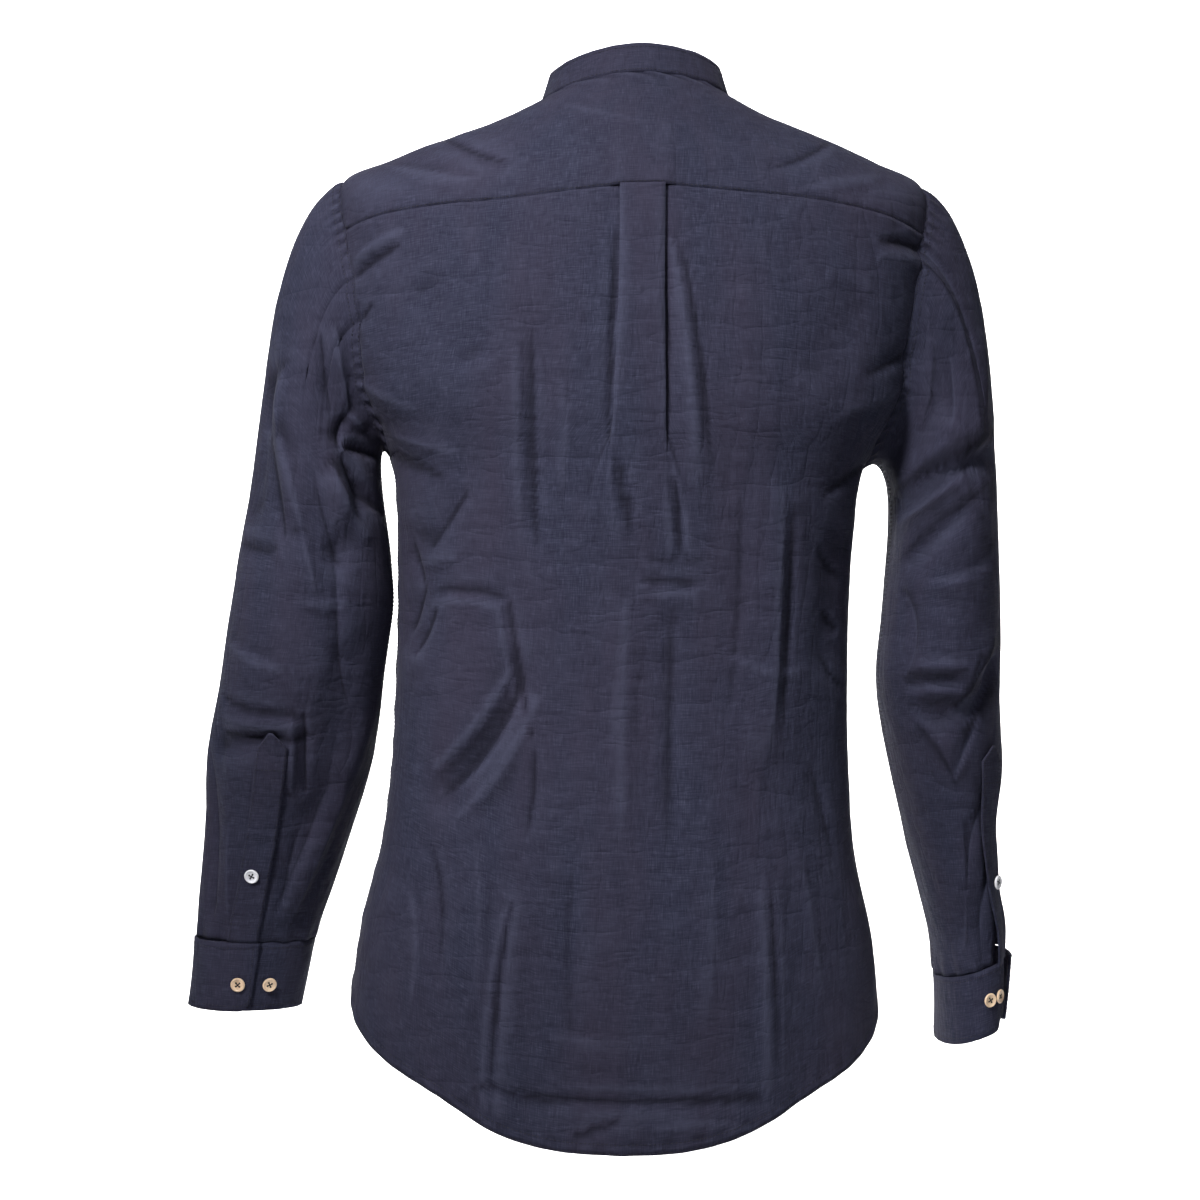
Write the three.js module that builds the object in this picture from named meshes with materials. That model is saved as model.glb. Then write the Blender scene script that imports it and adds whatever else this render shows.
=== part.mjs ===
// A man's long-sleeve shirt with a band collar, filled out as when it is worn, built from its cut pieces.
// Millimetres, +Z up. The front faces -Y and the wearer's left side is +X.
// The origin is the middle of the neck opening, level with the collar seam on the shoulders.
import * as THREE from "three";

const DEG = Math.PI / 180;

// Cloth
const WALL = 1.6; // thickness of one panel
const BAND_WALL = 2.4; // collar and cuffs, two layers turned in
const SEAM_GAP = 0.3; // between two pieces at a seam
const LAYER = 2.1; // between the middles of two layers that lie on each other

// Levels are measured along the side line of the body, from the hem up over the shoulder to the neck
const UNDERARM_LEVEL = -276;
const SIDE_HEM_LEVEL = -684;
const SHOULDER_LEVEL = -62;
const NECK_LEVEL = 80;

// The body's rings. half is the half width, back and front are the depths from the side line,
// the three heights are those of the ring at the side, the back and the front, square 2 is an ellipse
const BODY = table(
  ["level", "half", "back", "front", "sideZ", "backZ", "frontZ", "square"],
  [
    [-830, 206, 106, 116, -830, -830, -830, 2.3],
    [-740, 207, 109, 118, -740, -740, -740, 2.3],
    [-690, 204, 111, 119, -690, -690, -690, 2.3],
    [-640, 198, 111, 118, -640, -640, -640, 2.3],
    [-570, 182.5, 107, 115, -570, -570, -570, 2.35],
    [-510, 177, 103, 113, -510, -510, -510, 2.35],
    [-440, 175, 102, 113, -440, -440, -440, 2.4],
    [-370, 175, 105, 116, -370, -370, -370, 2.4],
    [-320, 177, 109, 120, -320, -321, -322, 2.45],
    [-276, 184, 112, 122, -276, -280, -282, 2.5],
    [-225, 212, 115, 122, -222, -236, -240, 2.8],
    [-160, 224, 114, 119, -158, -184, -190, 2.9],
    [-105, 228, 110, 112, -104, -142, -150, 2.8],
    [-62, 223, 104, 104, -62, -107, -118, 2.6],
    [-30, 187, 98, 96, -44, -80, -99, 2.35],
    [5, 148, 89, 86, -28, -51, -82, 2.15],
    [45, 106, 75, 72, -12, -16, -68, 2.0],
    [80, 73, 60, 57, 2, 15, -57, 2.0],
  ],
);

// The wearer's right shoulder stands higher than the left one
const SHOULDER_TIP = 5.5;
const SHOULDER_TIP_REACH = 115; // from the middle to where the tip is full
const SHOULDER_RAISE = 1;
const MEAN_REACH = 150; // from the middle to the cloth, for lengths on the map
const FRONT_HOLD = 9;

// How far the hem drops below the side seams, by the turn from a side seam in degrees
const HEM = table(
  ["turn", "back", "front"],
  [
    [0, 0, 0],
    [20, 26, 22],
    [35, 46, 38],
    [50, 66, 52],
    [65, 93, 62],
    [77, 104, 66],
    [90, 107, 66],
  ],
);

// Armhole: how far it reaches to the back and front of the side line, and where the yoke's seams meet it
const ARMHOLE_TURN = 31 * DEG;
const ARMHOLE_SQUARE = 0.8;
const BACK_YOKE_AT = 131 * DEG;
const FRONT_YOKE_AT = 203 * DEG;

// Back yoke seam: its height above the armhole end at the middle, and the front seam's turn at the neck
const YOKE_SEAM_LEVEL_MIDDLE = -27;
const FRONT_YOKE_NECK_TURN = -25 * DEG;

// Front edges: the left front laps over the right one
const FRONT_LAP = 16; // past the middle
const FRONT_LIFT_END = 34; // the left front lies on the right one up to near here
const FRONT_BUTTON_FIRST = -100; // height of the first button below the collar
const FRONT_BUTTON_STEP = 84;
const FRONT_BUTTONS = 7;

// Box pleat: how it lies at each height of the back's middle. fold is how far its cloth is folded under,
// high is how far its face stands up, spread is how far each step has opened out
const PLEAT_HALF = 16.5;
const PLEAT = table(
  ["level", "half", "fold", "high", "spread"],
  [
    [-830, 22, -13, 0, 12],
    [-480, 22, -13, 0, 12],
    [-372, 22, -12, 0.8, 10],
    [-337, 21.5, -9.5, 1.3, 7.5],
    [-302, 21, -6, 2.0, 4.5],
    [-268, 20, -1, 2.6, 1.9],
    [-258, 19.5, 0.8, 3.1, 1.2],
    [-244, 19, 3.4, 3.8, 0],
    [-220, 18.5, 5, 4.0, 0],
    [-120, PLEAT_HALF, 9, 4.0, 0],
    [0, PLEAT_HALF, 10, 4.0, 0],
  ],
);
const PLEAT_LEAD = 8; // plain cloth beside the fold
const PLEAT_LEVELS = 1.4; // how soon above the hem the pleat's rows lie level
const PLEAT_INSET = 3; // from the fold's inner edge to the first column on the face
const BESIDE_PLEAT = 1.05; // how closely the plain columns come up to the pleat
const YOKE_OVER = { lift: 2, gap: 0.5, reach: 28, fade: 12, rows: 3 }; // the yoke's edge rises over the pleat

// Large soft folds of the body, from one place to another, seen from behind or from the front.
// across is the half width, out is the height of a ridge or, below zero, the depth of a trough
const BODY_FOLDS = table(
  ["face", "x1", "z1", "x2", "z2", "across", "out"],
  [
    [1, -106, -290, -98, -505, 20, 4],
    [1, 82, -430, 136, -536, 17, -4],
    [1, 76, -180, 72, -350, 20, -2.5],
    [1, -30, -150, -44, -300, 13, 3],
    [1, 158, -330, 165, -420, 13, -4],
    [1, -160, -330, -150, -430, 15, -3.5],
    [1, 84, -600, 94, -770, 12, 3],
    [1, -104, -585, -112, -768, 12, 3],
    [1, 84, -748, -112, -748, 9, -2],
    [1, 160, -150, 120, -210, 18, -3],
    [1, -165, -150, -128, -215, 18, -3],
    [-1, 60, -160, 100, -330, 20, -3],
    [-1, -62, -170, -96, -350, 20, -3],
    [-1, 110, -400, 80, -560, 18, 3.5],
    [-1, -120, -430, -84, -580, 18, 3.5],
    [-1, 130, -640, 150, -740, 16, 3],
    [-1, -128, -630, -146, -735, 16, 3],
  ],
);

// Collar band
const COLLAR_HEIGHT = 26;
const COLLAR_LEAN = 15 * DEG; // inwards
const NECK_TILT = 12 * DEG; // forwards
const COLLAR_ROUND = 12; // of the two free corners

// The arms, seen from behind: the middle of each section, its half width and half depth,
// and how much higher its outer side is than its middle
const ARM_COLUMNS = ["down", "x", "y", "half", "deep", "rise"];
const ARM_LEFT = table(ARM_COLUMNS, [
  [334, 236.5, 2, 54.5, 64, 22],
  [383, 239.2, 6, 60.0, 61, 8],
  [445, 246.8, 4, 61.8, 58, 0],
  [507, 255.6, -10, 63.4, 52, 0],
  [557, 263.2, -24, 58.0, 45, 0],
  [605, 272.4, -34, 52.8, 40, 0],
  [638, 279.6, -41, 48.3, 37, 0],
  [654, 282.6, -44, 46.4, 36, 0],
]);
const ARM_RIGHT = table(ARM_COLUMNS, [
  [334, 249.0, 2, 41.5, 74, 18],
  [383, 248.5, 6, 44.5, 72, 8],
  [445, 248.0, 4, 47.0, 65, 0],
  [507, 258.5, -10, 43.5, 59, 0],
  [557, 265.5, -24, 35.5, 57, 2],
  [605, 275.5, -34, 30.0, 55, 6],
  [640, 284.5, -41, 27.5, 53, 9],
  [667, 288.0, -46, 26.0, 52, 11],
]);
const CUFF_COLUMNS = ["down", "x", "y", "half", "deep", "rise"];
const CUFF_LEFT = table(CUFF_COLUMNS, [
  [654.8, 282.7, -44.1, 46.0, 35.5, 0],
  [682, 286.5, -47.5, 44.5, 35, 0],
  [709, 290.5, -51, 43.5, 34, 0],
]);
const CUFF_RIGHT = table(CUFF_COLUMNS, [
  [667.9, 288.0, -46.2, 25.5, 52, 11],
  [695, 289, -49, 23.5, 54, 11],
  [722, 289, -52, 22.0, 55, 11],
]);

// Folds of the sleeves, by the turn round the arm in degrees (0 inside, 90 behind, 180 outside)
// and the distance down
const SLEEVE_FOLD_COLUMNS = ["turn1", "down1", "turn2", "down2", "across", "out"];
const FOLDS_LEFT = table(SLEEVE_FOLD_COLUMNS, [
  [120, 200, 105, 400, 15, 3],
  [150, 210, 150, 330, 14, -4],
  [40, 300, 75, 360, 12, -4],
  [55, 420, 62, 560, 17, -4],
  [95, 492, 150, 500, 10, -3],
  [30, 480, 75, 640, 12, 3],
  [150, 490, 140, 640, 11, -3],
  [230, 330, 280, 420, 15, -3],
  [240, 470, 300, 520, 14, -3],
]);
const FOLDS_RIGHT = table(SLEEVE_FOLD_COLUMNS, [
  [150, 250, 40, 352, 15, -5],
  [95, 180, 110, 300, 16, -3],
  [150, 420, 70, 480, 12, -3.5],
  [60, 450, 130, 442, 11, 3],
  [100, 500, 110, 640, 12, 3],
  [230, 330, 280, 420, 15, -3],
  [240, 470, 300, 520, 14, -3],
]);

// Sleeve slits and plackets: the turn of the slit, the width it opens to, and the placket's size
const SLIT_TOP = 500;
const SLIT_TIP = 1; // how wide it starts
const PLACKET_WIDTH = 23;
const PLACKET_SHARE = 0.65; // of the width lies on the inner side of the slit
const PLACKET_POINT = 12;
const PLACKET_LIFT = 2.9; // between the middles of the placket and the sleeve
const LEFT_SLIT = { turn: 103 * DEG, open: 3 };
const RIGHT_SLIT = { turn: 128 * DEG, open: 15 };

// How many parts each edge is divided into, the same for the two pieces at a seam
const PARTS = {
  side: 15,
  armholeBack: 10,
  armholeYoke: 6,
  armholeFront: 11,
  backHalf: 8,
  yokeMiddle: 4,
  frontYoke: 5,
  neckFront: 4,
};

const PLACKET_PARTS = 6;
const PLACKET_TIP_WIDTH = 3;
const PLACKET_WALL = 1.4;
const RIGHT_PLACKET_STAND = 7; // how far its free edge stands off where the cuff is undone

// Cuffs: the turns of the outer and the under end, and their laps and rounded corners
const BAND_LAYER = 2.9; // between the middles of two band layers
const CUFF_ROUND = 8;
const LEFT_CUFF = { from: 82 * DEG, to: 482 * DEG, lap: 46 * DEG, ease: 60 * DEG, columns: 30 };
const RIGHT_CUFF = { from: 146 * DEG, to: 489 * DEG, flare: 6, ease: 52 * DEG, columns: 26 };
const CUFF_ROWS = [0, 0.4, 0.8, 1]; // shares of the cuff's depth
const COLLAR_ROWS = [0, 0.4, 0.75, 1]; // shares of the collar's height

// Buttons of the arms: the distance down, the turn in degrees and how far the cloth under them is lifted.
// The left cuff is fastened by the second of its two, and the right one is undone
const ARM_BUTTONS = table(
  ["name", "piece", "down", "turn", "lift"],
  [
    ["cuff_button_left_1", "cuff", 688, 66, 0],
    ["cuff_button_left_2", "cuff", 687, 96.5, BAND_LAYER],
    ["placket_button_left", "placket", 600, 101, PLACKET_LIFT],
    ["cuff_button_right_1", "cuff", 693, 101, 1.2],
    ["cuff_button_right_2", "cuff", 694, 119, 2.4],
    ["placket_button_right", "placket", 600, 124, PLACKET_LIFT + 2.2],
  ],
);
const COLLAR_BUTTON_SHARE = 0.3; // of the way between the band's two middle rows
const BUTTON_SIDES = 12;
const BUTTON_CLEAR = 0.3;

const CLOTH = { color: 0x3d3d50, roughness: 0.92, metalness: 0 };
const CLOTH_BAND = { color: 0x373747, roughness: 0.92, metalness: 0 };
const PEARL = { color: 0xc0c2c8, roughness: 0.35, metalness: 0 };
const HORN = { color: 0xc4a890, roughness: 0.4, metalness: 0 };

const shirt = new THREE.Group();

// Tables, curves and small sums

function table(columns, rows) {
  return rows.map((row) => Object.fromEntries(columns.map((name, i) => [name, row[i]])));
}

function lerp(a, b, t) {
  return a + (b - a) * t;
}

function clamp01(t) {
  return Math.min(1, Math.max(0, t));
}

function smooth(t) {
  const c = clamp01(t);
  return c * c * (3 - 2 * c);
}

// Every column of a table on a smooth curve through its rows, at a place along its first column
function along(rows, at) {
  const key = Object.keys(rows[0])[0];
  const sign = rows[1][key] > rows[0][key] ? 1 : -1;
  const place = Math.min(Math.max(at * sign, rows[0][key] * sign), rows.at(-1)[key] * sign) * sign;
  let i = 0;
  while (i < rows.length - 2 && rows[i + 1][key] * sign < place * sign) i += 1;
  const a = rows[i];
  const b = rows[i + 1];
  const step = b[key] - a[key];
  const t = (place - a[key]) / step;
  const slope = (name, j) => {
    const before = rows[Math.max(0, j - 1)];
    const after = rows[Math.min(rows.length - 1, j + 1)];
    return (after[name] - before[name]) / (after[key] - before[key]);
  };
  const value = { [key]: place };
  for (const name of Object.keys(a)) {
    if (name === key) continue;
    const m0 = slope(name, i) * step;
    const m1 = slope(name, i + 1) * step;
    const t2 = t * t;
    const t3 = t2 * t;
    value[name] =
      (2 * t3 - 3 * t2 + 1) * a[name] +
      (t3 - 2 * t2 + t) * m0 +
      (3 * t2 - 2 * t3) * b[name] +
      (t3 - t2) * m1;
  }
  return value;
}

// The height of soft folds at a place of a flat map
function foldHeight(folds, u, v) {
  let height = 0;
  for (const fold of folds) {
    const du = fold.u2 - fold.u1;
    const dv = fold.v2 - fold.v1;
    const length = Math.hypot(du, dv);
    const t = ((u - fold.u1) * du + (v - fold.v1) * dv) / (length * length);
    const off = Math.abs((u - fold.u1) * dv - (v - fold.v1) * du) / length;
    const taper = smooth(t * 4 + 0.5) * smooth((1 - t) * 4 + 0.5);
    height += fold.out * taper * Math.exp(-((off / fold.across) ** 2));
  }
  return height;
}

// The body's surface

// A place on the body: turn is 0 at the wearer's left side and a quarter turn at the back
function bodyPoint(turn, level) {
  const ring = along(BODY, level);
  const c = Math.cos(turn);
  const s = Math.sin(turn);
  const reach = (Math.abs(c) ** ring.square + Math.abs(s) ** ring.square) ** (-1 / ring.square);
  const depth = s > 0 ? ring.back : ring.front;
  const middleZ = s > 0 ? ring.backZ : ring.frontZ;
  const x = ring.half * c * reach;
  const tip = SHOULDER_TIP * Math.min(1, Math.max(-1, -x / SHOULDER_TIP_REACH)) + SHOULDER_RAISE;
  const high = smooth((level - UNDERARM_LEVEL) / (SHOULDER_LEVEL - UNDERARM_LEVEL));
  return new THREE.Vector3(x, depth * s * reach, ring.sideZ + (middleZ - ring.sideZ) * s * s + tip * high);
}

function bodyNormal(turn, level) {
  const round = bodyPoint(turn + 0.01, level).sub(bodyPoint(turn - 0.01, level));
  const up = bodyPoint(turn, Math.min(level + 2, NECK_LEVEL)).sub(bodyPoint(turn, level - 2));
  return round.cross(up).normalize();
}

const bodyFolds = [1, -1].map((face) => ({
  face,
  folds: BODY_FOLDS.filter((f) => f.face === face).map((f) => ({
    u1: f.x1,
    v1: f.z1,
    u2: f.x2,
    v2: f.z2,
    across: f.across,
    out: f.out,
  })),
}));

// A vertex of the cloth: its place and the way its thickness goes
function bodyVertex(turn, level, lift = 0) {
  const p = bodyPoint(turn, level);
  const n = bodyNormal(turn, level);
  const side = Math.sin(turn) > 0 ? bodyFolds[0] : bodyFolds[1];
  const fold = foldHeight(side.folds, p.x, p.z) * smooth(Math.abs(Math.sin(turn)) * 3 - 0.2);
  return { p: p.addScaledVector(n, fold + lift), n };
}

// The turn at which a ring of the back or front passes a distance x
function turnAt(x, level, face) {
  let low = 0;
  let high = Math.PI;
  for (let i = 0; i < 40; i += 1) {
    const middle = (low + high) / 2;
    if (bodyPoint(middle * face, level).x > x) low = middle;
    else high = middle;
  }
  return ((low + high) / 2) * face;
}

// Edges of the pieces, as places [turn, level] on the body

function hemPlace(turn) {
  const fromSide = Math.min(Math.abs(turn), Math.PI - Math.abs(turn)) / DEG;
  const drop = along(HEM, fromSide)[turn > 0 ? "back" : "front"];
  return [turn, SIDE_HEM_LEVEL - drop];
}

function mirrorPlace([turn, level], face) {
  return [face * Math.PI - turn, level];
}

// at is 0 at the underarm, half a turn at the shoulder, and goes round behind
function armholePlace(at) {
  const middle = (UNDERARM_LEVEL + SHOULDER_LEVEL) / 2;
  const reach = (SHOULDER_LEVEL - UNDERARM_LEVEL) / 2;
  const s = Math.sin(at);
  return [ARMHOLE_TURN * Math.sign(s) * Math.abs(s) ** ARMHOLE_SQUARE, middle - reach * Math.cos(at)];
}

function spread(from, to, parts, place) {
  return Array.from({ length: parts + 1 }, (_, i) => place(lerp(from, to, i / parts)));
}

const armholeBack = spread(0, BACK_YOKE_AT, PARTS.armholeBack, armholePlace);
const armholeYoke = spread(BACK_YOKE_AT, FRONT_YOKE_AT, PARTS.armholeYoke, armholePlace);
const armholeFront = spread(2 * Math.PI, FRONT_YOKE_AT, PARTS.armholeFront, armholePlace);
const sideSeam = spread(SIDE_HEM_LEVEL, UNDERARM_LEVEL, PARTS.side, (level) => [0, level]);

// The back yoke seam from the armhole to the middle of the back
function yokeSeamPlace(share) {
  const [turn0, level0] = armholePlace(BACK_YOKE_AT);
  return [lerp(turn0, Math.PI / 2, share), lerp(level0, YOKE_SEAM_LEVEL_MIDDLE, smooth(share) ** 0.7)];
}

function frontYokePlace(share) {
  const [turn0, level0] = armholePlace(FRONT_YOKE_AT);
  return [lerp(turn0, FRONT_YOKE_NECK_TURN, share ** 1.3), lerp(level0, NECK_LEVEL, share)];
}

const frontYokeSeam = spread(0, 1, PARTS.frontYoke, frontYokePlace);

// Front neckline from the lap to the yoke, on the wearer's left
const frontColumns = [-FRONT_LAP, 0, FRONT_LAP, FRONT_LIFT_END];
const neckLap = frontColumns.map((x) => [turnAt(x, NECK_LEVEL, -1), NECK_LEVEL]);
const neckFront = spread(neckLap.at(-1)[0], FRONT_YOKE_NECK_TURN, PARTS.neckFront, (turn) => [
  turn,
  NECK_LEVEL,
]);

// Places on a map stretched between four edges. The bottom and the top bend the rows next to
// them, and with a higher hold they let go sooner.
function patch(bottom, top, left, right, hold = 1) {
  const columns = bottom.length - 1;
  const rows = left.length - 1;
  const share = (edge) => {
    const sums = [0];
    for (let i = 1; i < edge.length; i += 1) {
      const step = Math.hypot((edge[i][0] - edge[i - 1][0]) * MEAN_REACH, edge[i][1] - edge[i - 1][1]);
      sums.push(sums[i - 1] + step);
    }
    return sums.map((sum) => sum / sums.at(-1));
  };
  const [shareBottom, shareTop, shareLeft, shareRight] = [bottom, top, left, right].map(share);
  const bend = (edge, i, u, k) => edge[i][k] - lerp(edge[0][k], edge[columns][k], u);
  return left.map((_, j) =>
    bottom.map((_, i) => {
      const v = lerp(shareLeft[j], shareRight[j], i / columns);
      const u = lerp(shareBottom[i], shareTop[i], v);
      return [0, 1].map(
        (k) =>
          lerp(left[j][k], right[j][k], u) +
          (1 - v) ** hold * bend(bottom, i, u, k) +
          v ** hold * bend(top, i, u, k),
      );
    }),
  );
}

// Walls

// The way on the cloth from the middle of the armhole to a vertex at its edge
function fromArmhole({ p, n }, side) {
  const middle = bodyPoint(side > 0 ? 0 : Math.PI, (UNDERARM_LEVEL + SHOULDER_LEVEL) / 2);
  const way = p.clone().sub(middle);
  return way.addScaledVector(n, -way.dot(n)).normalize();
}

// Moves the outer rows and columns in by half a seam gap. Above the side seam, a column whose side is 1 or -1
// is at that side's armhole
function parted(grid, { left = 0, right = 0, armholeFrom = 0 } = {}) {
  const rows = grid.length;
  const columns = grid[0].length;
  const way = (a, b) => b.p.clone().sub(a.p).normalize();
  const moves = [];
  const move = (vertex, toward) => moves.push({ vertex, step: toward.multiplyScalar(SEAM_GAP / 2) });
  for (let i = 0; i < columns; i += 1) {
    move(grid[0][i], way(grid[0][i], grid[1][i]));
    move(grid[rows - 1][i], way(grid[rows - 1][i], grid[rows - 2][i]));
  }
  for (let j = 0; j < rows; j += 1) {
    for (const [i, next, side] of [[0, 1, left], [columns - 1, columns - 2, right]]) {
      const atArmhole = side !== 0 && j >= armholeFrom;
      const vertex = grid[j][i];
      move(vertex, atArmhole ? fromArmhole(vertex, side) : way(vertex, grid[j][next]));
    }
  }
  moves.forEach(({ vertex, step }) => vertex.p.add(step));
  return grid;
}

// A closed wall over the cells of a grid of vertices. Columns join round when closed, and a cell for which
// keep says no is left out
function wall(grid, thickness, { closed = false, keep = () => true } = {}) {
  const rows = grid.length;
  const columns = grid[0].length;
  const cells = closed ? columns : columns - 1;
  const places = [];
  for (const side of [0.5, -0.5]) {
    for (const row of grid) {
      for (const { p, n } of row) places.push(p.clone().addScaledVector(n, side * thickness));
    }
  }
  const inner = rows * columns;
  const index = (i, j) => j * columns + (i % columns);
  const has = (i, j) => {
    if (j < 0 || j >= rows - 1) return false;
    if (closed) return keep((i + cells) % cells, j);
    return i >= 0 && i < cells && keep(i, j);
  };
  const faces = [];
  const quad = (a, b, c, d) => faces.push(a, b, c, a, c, d);
  for (let j = 0; j < rows - 1; j += 1) {
    for (let i = 0; i < cells; i += 1) {
      if (!has(i, j)) continue;
      const a = index(i, j);
      const b = index(i + 1, j);
      const c = index(i + 1, j + 1);
      const d = index(i, j + 1);
      quad(a, b, c, d);
      quad(a + inner, d + inner, c + inner, b + inner);
      if (!has(i, j - 1)) quad(a, a + inner, b + inner, b);
      if (!has(i, j + 1)) quad(c, c + inner, d + inner, d);
      if (!has(i - 1, j)) quad(d, d + inner, a + inner, a);
      if (!has(i + 1, j)) quad(b, b + inner, c + inner, c);
    }
  }
  const geometry = new THREE.BufferGeometry();
  geometry.setAttribute(
    "position",
    new THREE.Float32BufferAttribute(
      places.flatMap((p) => [p.x, p.y, p.z]),
      3,
    ),
  );
  geometry.setIndex(faces);
  return geometry;
}

// The way the thickness goes at each vertex of a plain grid, out of its right-handed side
function withNormals(points, closed) {
  const rows = points.length;
  const columns = points[0].length;
  return points.map((row, j) =>
    row.map((p, i) => {
      const before = closed ? row[(i + columns - 1) % columns] : row[Math.max(0, i - 1)];
      const after = closed ? row[(i + 1) % columns] : row[Math.min(columns - 1, i + 1)];
      const below = points[Math.max(0, j - 1)][i];
      const above = points[Math.min(rows - 1, j + 1)][i];
      const n = after.clone().sub(before).cross(above.clone().sub(below)).normalize();
      return { p: p.clone(), n };
    }),
  );
}

function addPiece(name, geometry, finish) {
  geometry.computeVertexNormals();
  const mesh = new THREE.Mesh(geometry, new THREE.MeshStandardMaterial(finish));
  mesh.name = name;
  shirt.add(mesh);
}

// The wearer's right half of a row of places, from its left half
function mirroredPlaces(places) {
  return [...places].reverse().map((place) => mirrorPlace(place, 1));
}

// A piece of the left arm made one for the right arm. Its rows are turned over so that the wall still faces out
function mirrored(grid) {
  const flip = (v) => new THREE.Vector3(-v.x, v.y, v.z);
  return [...grid].reverse().map((row) => row.map(({ p, n }) => ({ p: flip(p), n: flip(n) })));
}

// Back with its box pleat

// Half of the pleat's section, from the plain cloth beside it to the edge of its face
function pleatHalf(level) {
  const { half, fold, high, spread: open } = along(PLEAT, level);
  return [
    { x: half + 2 * open - fold + PLEAT_LEAD, h: 0 },
    { x: half + 2 * open - fold, h: 0 },
    { x: half + open - fold, h: high / 2 },
    { x: half + open, h: high / 2 },
    { x: half, h: high },
    { x: half - Math.max(fold, 0) - PLEAT_INSET, h: high },
  ];
}

// The section's columns with the way their thickness goes, mitred at each corner
function pleatSection(level) {
  const half = pleatHalf(level);
  const section = [...half, { x: 0, h: half[5].h }, ...half.map(({ x, h }) => ({ x: -x, h })).reverse()];
  const ways = section.slice(1).map((b, i) => {
    const a = section[i];
    const length = Math.hypot(b.x - a.x, b.h - a.h);
    return { x: (b.h - a.h) / length, h: -(b.x - a.x) / length };
  });
  return section.map((c, i) => {
    const a = ways[Math.max(0, i - 1)];
    const b = ways[Math.min(ways.length - 1, i)];
    const share = 1 + Math.max(a.x * b.x + a.h * b.h, -0.3);
    return { ...c, nx: (a.x + b.x) / share, nh: (a.h + b.h) / share };
  });
}

// The back's rows from hem to yoke: the columns beside the pleat on the wearer's left, the first of them on
// the side seam or armhole, and the places of the pleat's columns, which follow the hem below and lie level
// above
function backRows() {
  const left = [...sideSeam, ...armholeBack.slice(1)];
  const hem = spread(0, Math.PI, PARTS.backHalf * 2, hemPlace);
  const yokeLeft = spread(0, 1, PARTS.backHalf, yokeSeamPlace);
  const yoke = [...yokeLeft, ...mirroredPlaces(yokeLeft.slice(0, -1))];
  const right = left.map((place) => mirrorPlace(place, 1));
  const rows = patch(hem, yoke, left, right);
  const top = rows.at(-1)[PARTS.backHalf][1];
  return rows.map((row) => {
    const level = row[PARTS.backHalf][1];
    const section = pleatSection(level);
    const edge = turnAt(section[0].x, level, 1);
    const start = row[0][0];
    const side = row.slice(0, PARTS.backHalf).map(([turn]) => {
      const share = (turn - start) / (Math.PI / 2 - start);
      const moved = lerp(start, edge, share * BESIDE_PLEAT);
      return [moved, levelAcross(row, moved)];
    });
    const upper = (level - rows[0][PARTS.backHalf][1]) / (top - rows[0][PARTS.backHalf][1]);
    const pleat = section.map((corner) => {
      const turn = turnAt(corner.x, level, 1);
      return { corner, turn, level: lerp(levelAcross(row, turn), level, smooth(upper * PLEAT_LEVELS)) };
    });
    return { side: [...side, [edge, pleat[0].level]], pleat };
  });
}

// The level at which a row of places passes a turn
function levelAcross(row, turn) {
  const i = Math.max(1, row.findIndex((place) => place[0] > turn));
  const [a, b] = [row[i - 1], row[i]];
  return lerp(a[1], b[1], (turn - a[0]) / (b[0] - a[0]));
}

function backGrid() {
  return backRows().map(({ side, pleat: places }) => {
    const plain = side.slice(0, -1);
    const pleat = places.map(({ corner, turn, level }) => {
      const { p, n } = bodyVertex(turn, level, corner.h);
      const across = new THREE.Vector3(n.y, -n.x, 0).normalize();
      return { p, n: across.multiplyScalar(corner.nx).addScaledVector(n, corner.nh) };
    });
    return [
      ...plain.map(([turn, place]) => bodyVertex(turn, place)),
      ...pleat,
      ...mirroredPlaces(plain).map(([turn, place]) => bodyVertex(turn, place)),
    ];
  });
}

// Yoke

// The yoke's edges. Its lower one has the back's columns, with the pleat's own width divided evenly
function yokeEdges() {
  const beside = backRows().at(-1).side;
  const [edge, level] = beside.at(-1);
  const middle = spread(edge, Math.PI - edge, PARTS.yokeMiddle, (turn) => [turn, level]);
  const bottom = [...beside, ...middle.slice(1, -1), ...mirroredPlaces(beside)];
  const neckParts = bottom.length - 1 - 2 * PARTS.frontYoke;
  const neckEnd = Math.PI - FRONT_YOKE_NECK_TURN;
  const neck = spread(FRONT_YOKE_NECK_TURN, neckEnd, neckParts, (turn) => [turn, NECK_LEVEL]);
  const seam = frontYokeSeam.slice(0, -1);
  return { bottom, neck, top: [...seam, ...neck, ...mirroredPlaces(seam)] };
}

function yokeGrid() {
  const { bottom, top } = yokeEdges();
  const right = armholeYoke.map((place) => mirrorPlace(place, 1));
  return patch(bottom, top, armholeYoke, right).map((row, j) =>
    row.map(([turn, level]) => {
      const x = Math.abs(bodyPoint(turn, level).x);
      const over = smooth((YOKE_OVER.reach - x) / YOKE_OVER.fade) * (1 - smooth(j / YOKE_OVER.rows));
      return bodyVertex(turn, level + YOKE_OVER.gap * over, YOKE_OVER.lift * over);
    }),
  );
}

// Fronts

// The wearer's left front as places, from its lap to the side seam
function frontPlaces() {
  const side = [...sideSeam, ...armholeFront.slice(1)];
  const top = [...neckFront, ...frontYokeSeam.slice(0, -1).reverse()];
  const bottomStart = turnAt(FRONT_LIFT_END, SIDE_HEM_LEVEL - 60, -1);
  const bottom = spread(bottomStart, 0, top.length - 1, hemPlace);
  const levels = side.map((place, j) => {
    const share = j / (side.length - 1);
    return lerp(bottom[0][1], NECK_LEVEL, share);
  });
  const inner = levels.map((level) => [turnAt(FRONT_LIFT_END, level, -1), level]);
  const places = patch(bottom, top, inner, side, FRONT_HOLD);
  return places.map((row) => {
    const level = row[0][1];
    const lap = frontColumns.slice(0, -1).map((x) => [turnAt(x, level, -1), level]);
    return [...lap, ...row];
  });
}

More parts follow.
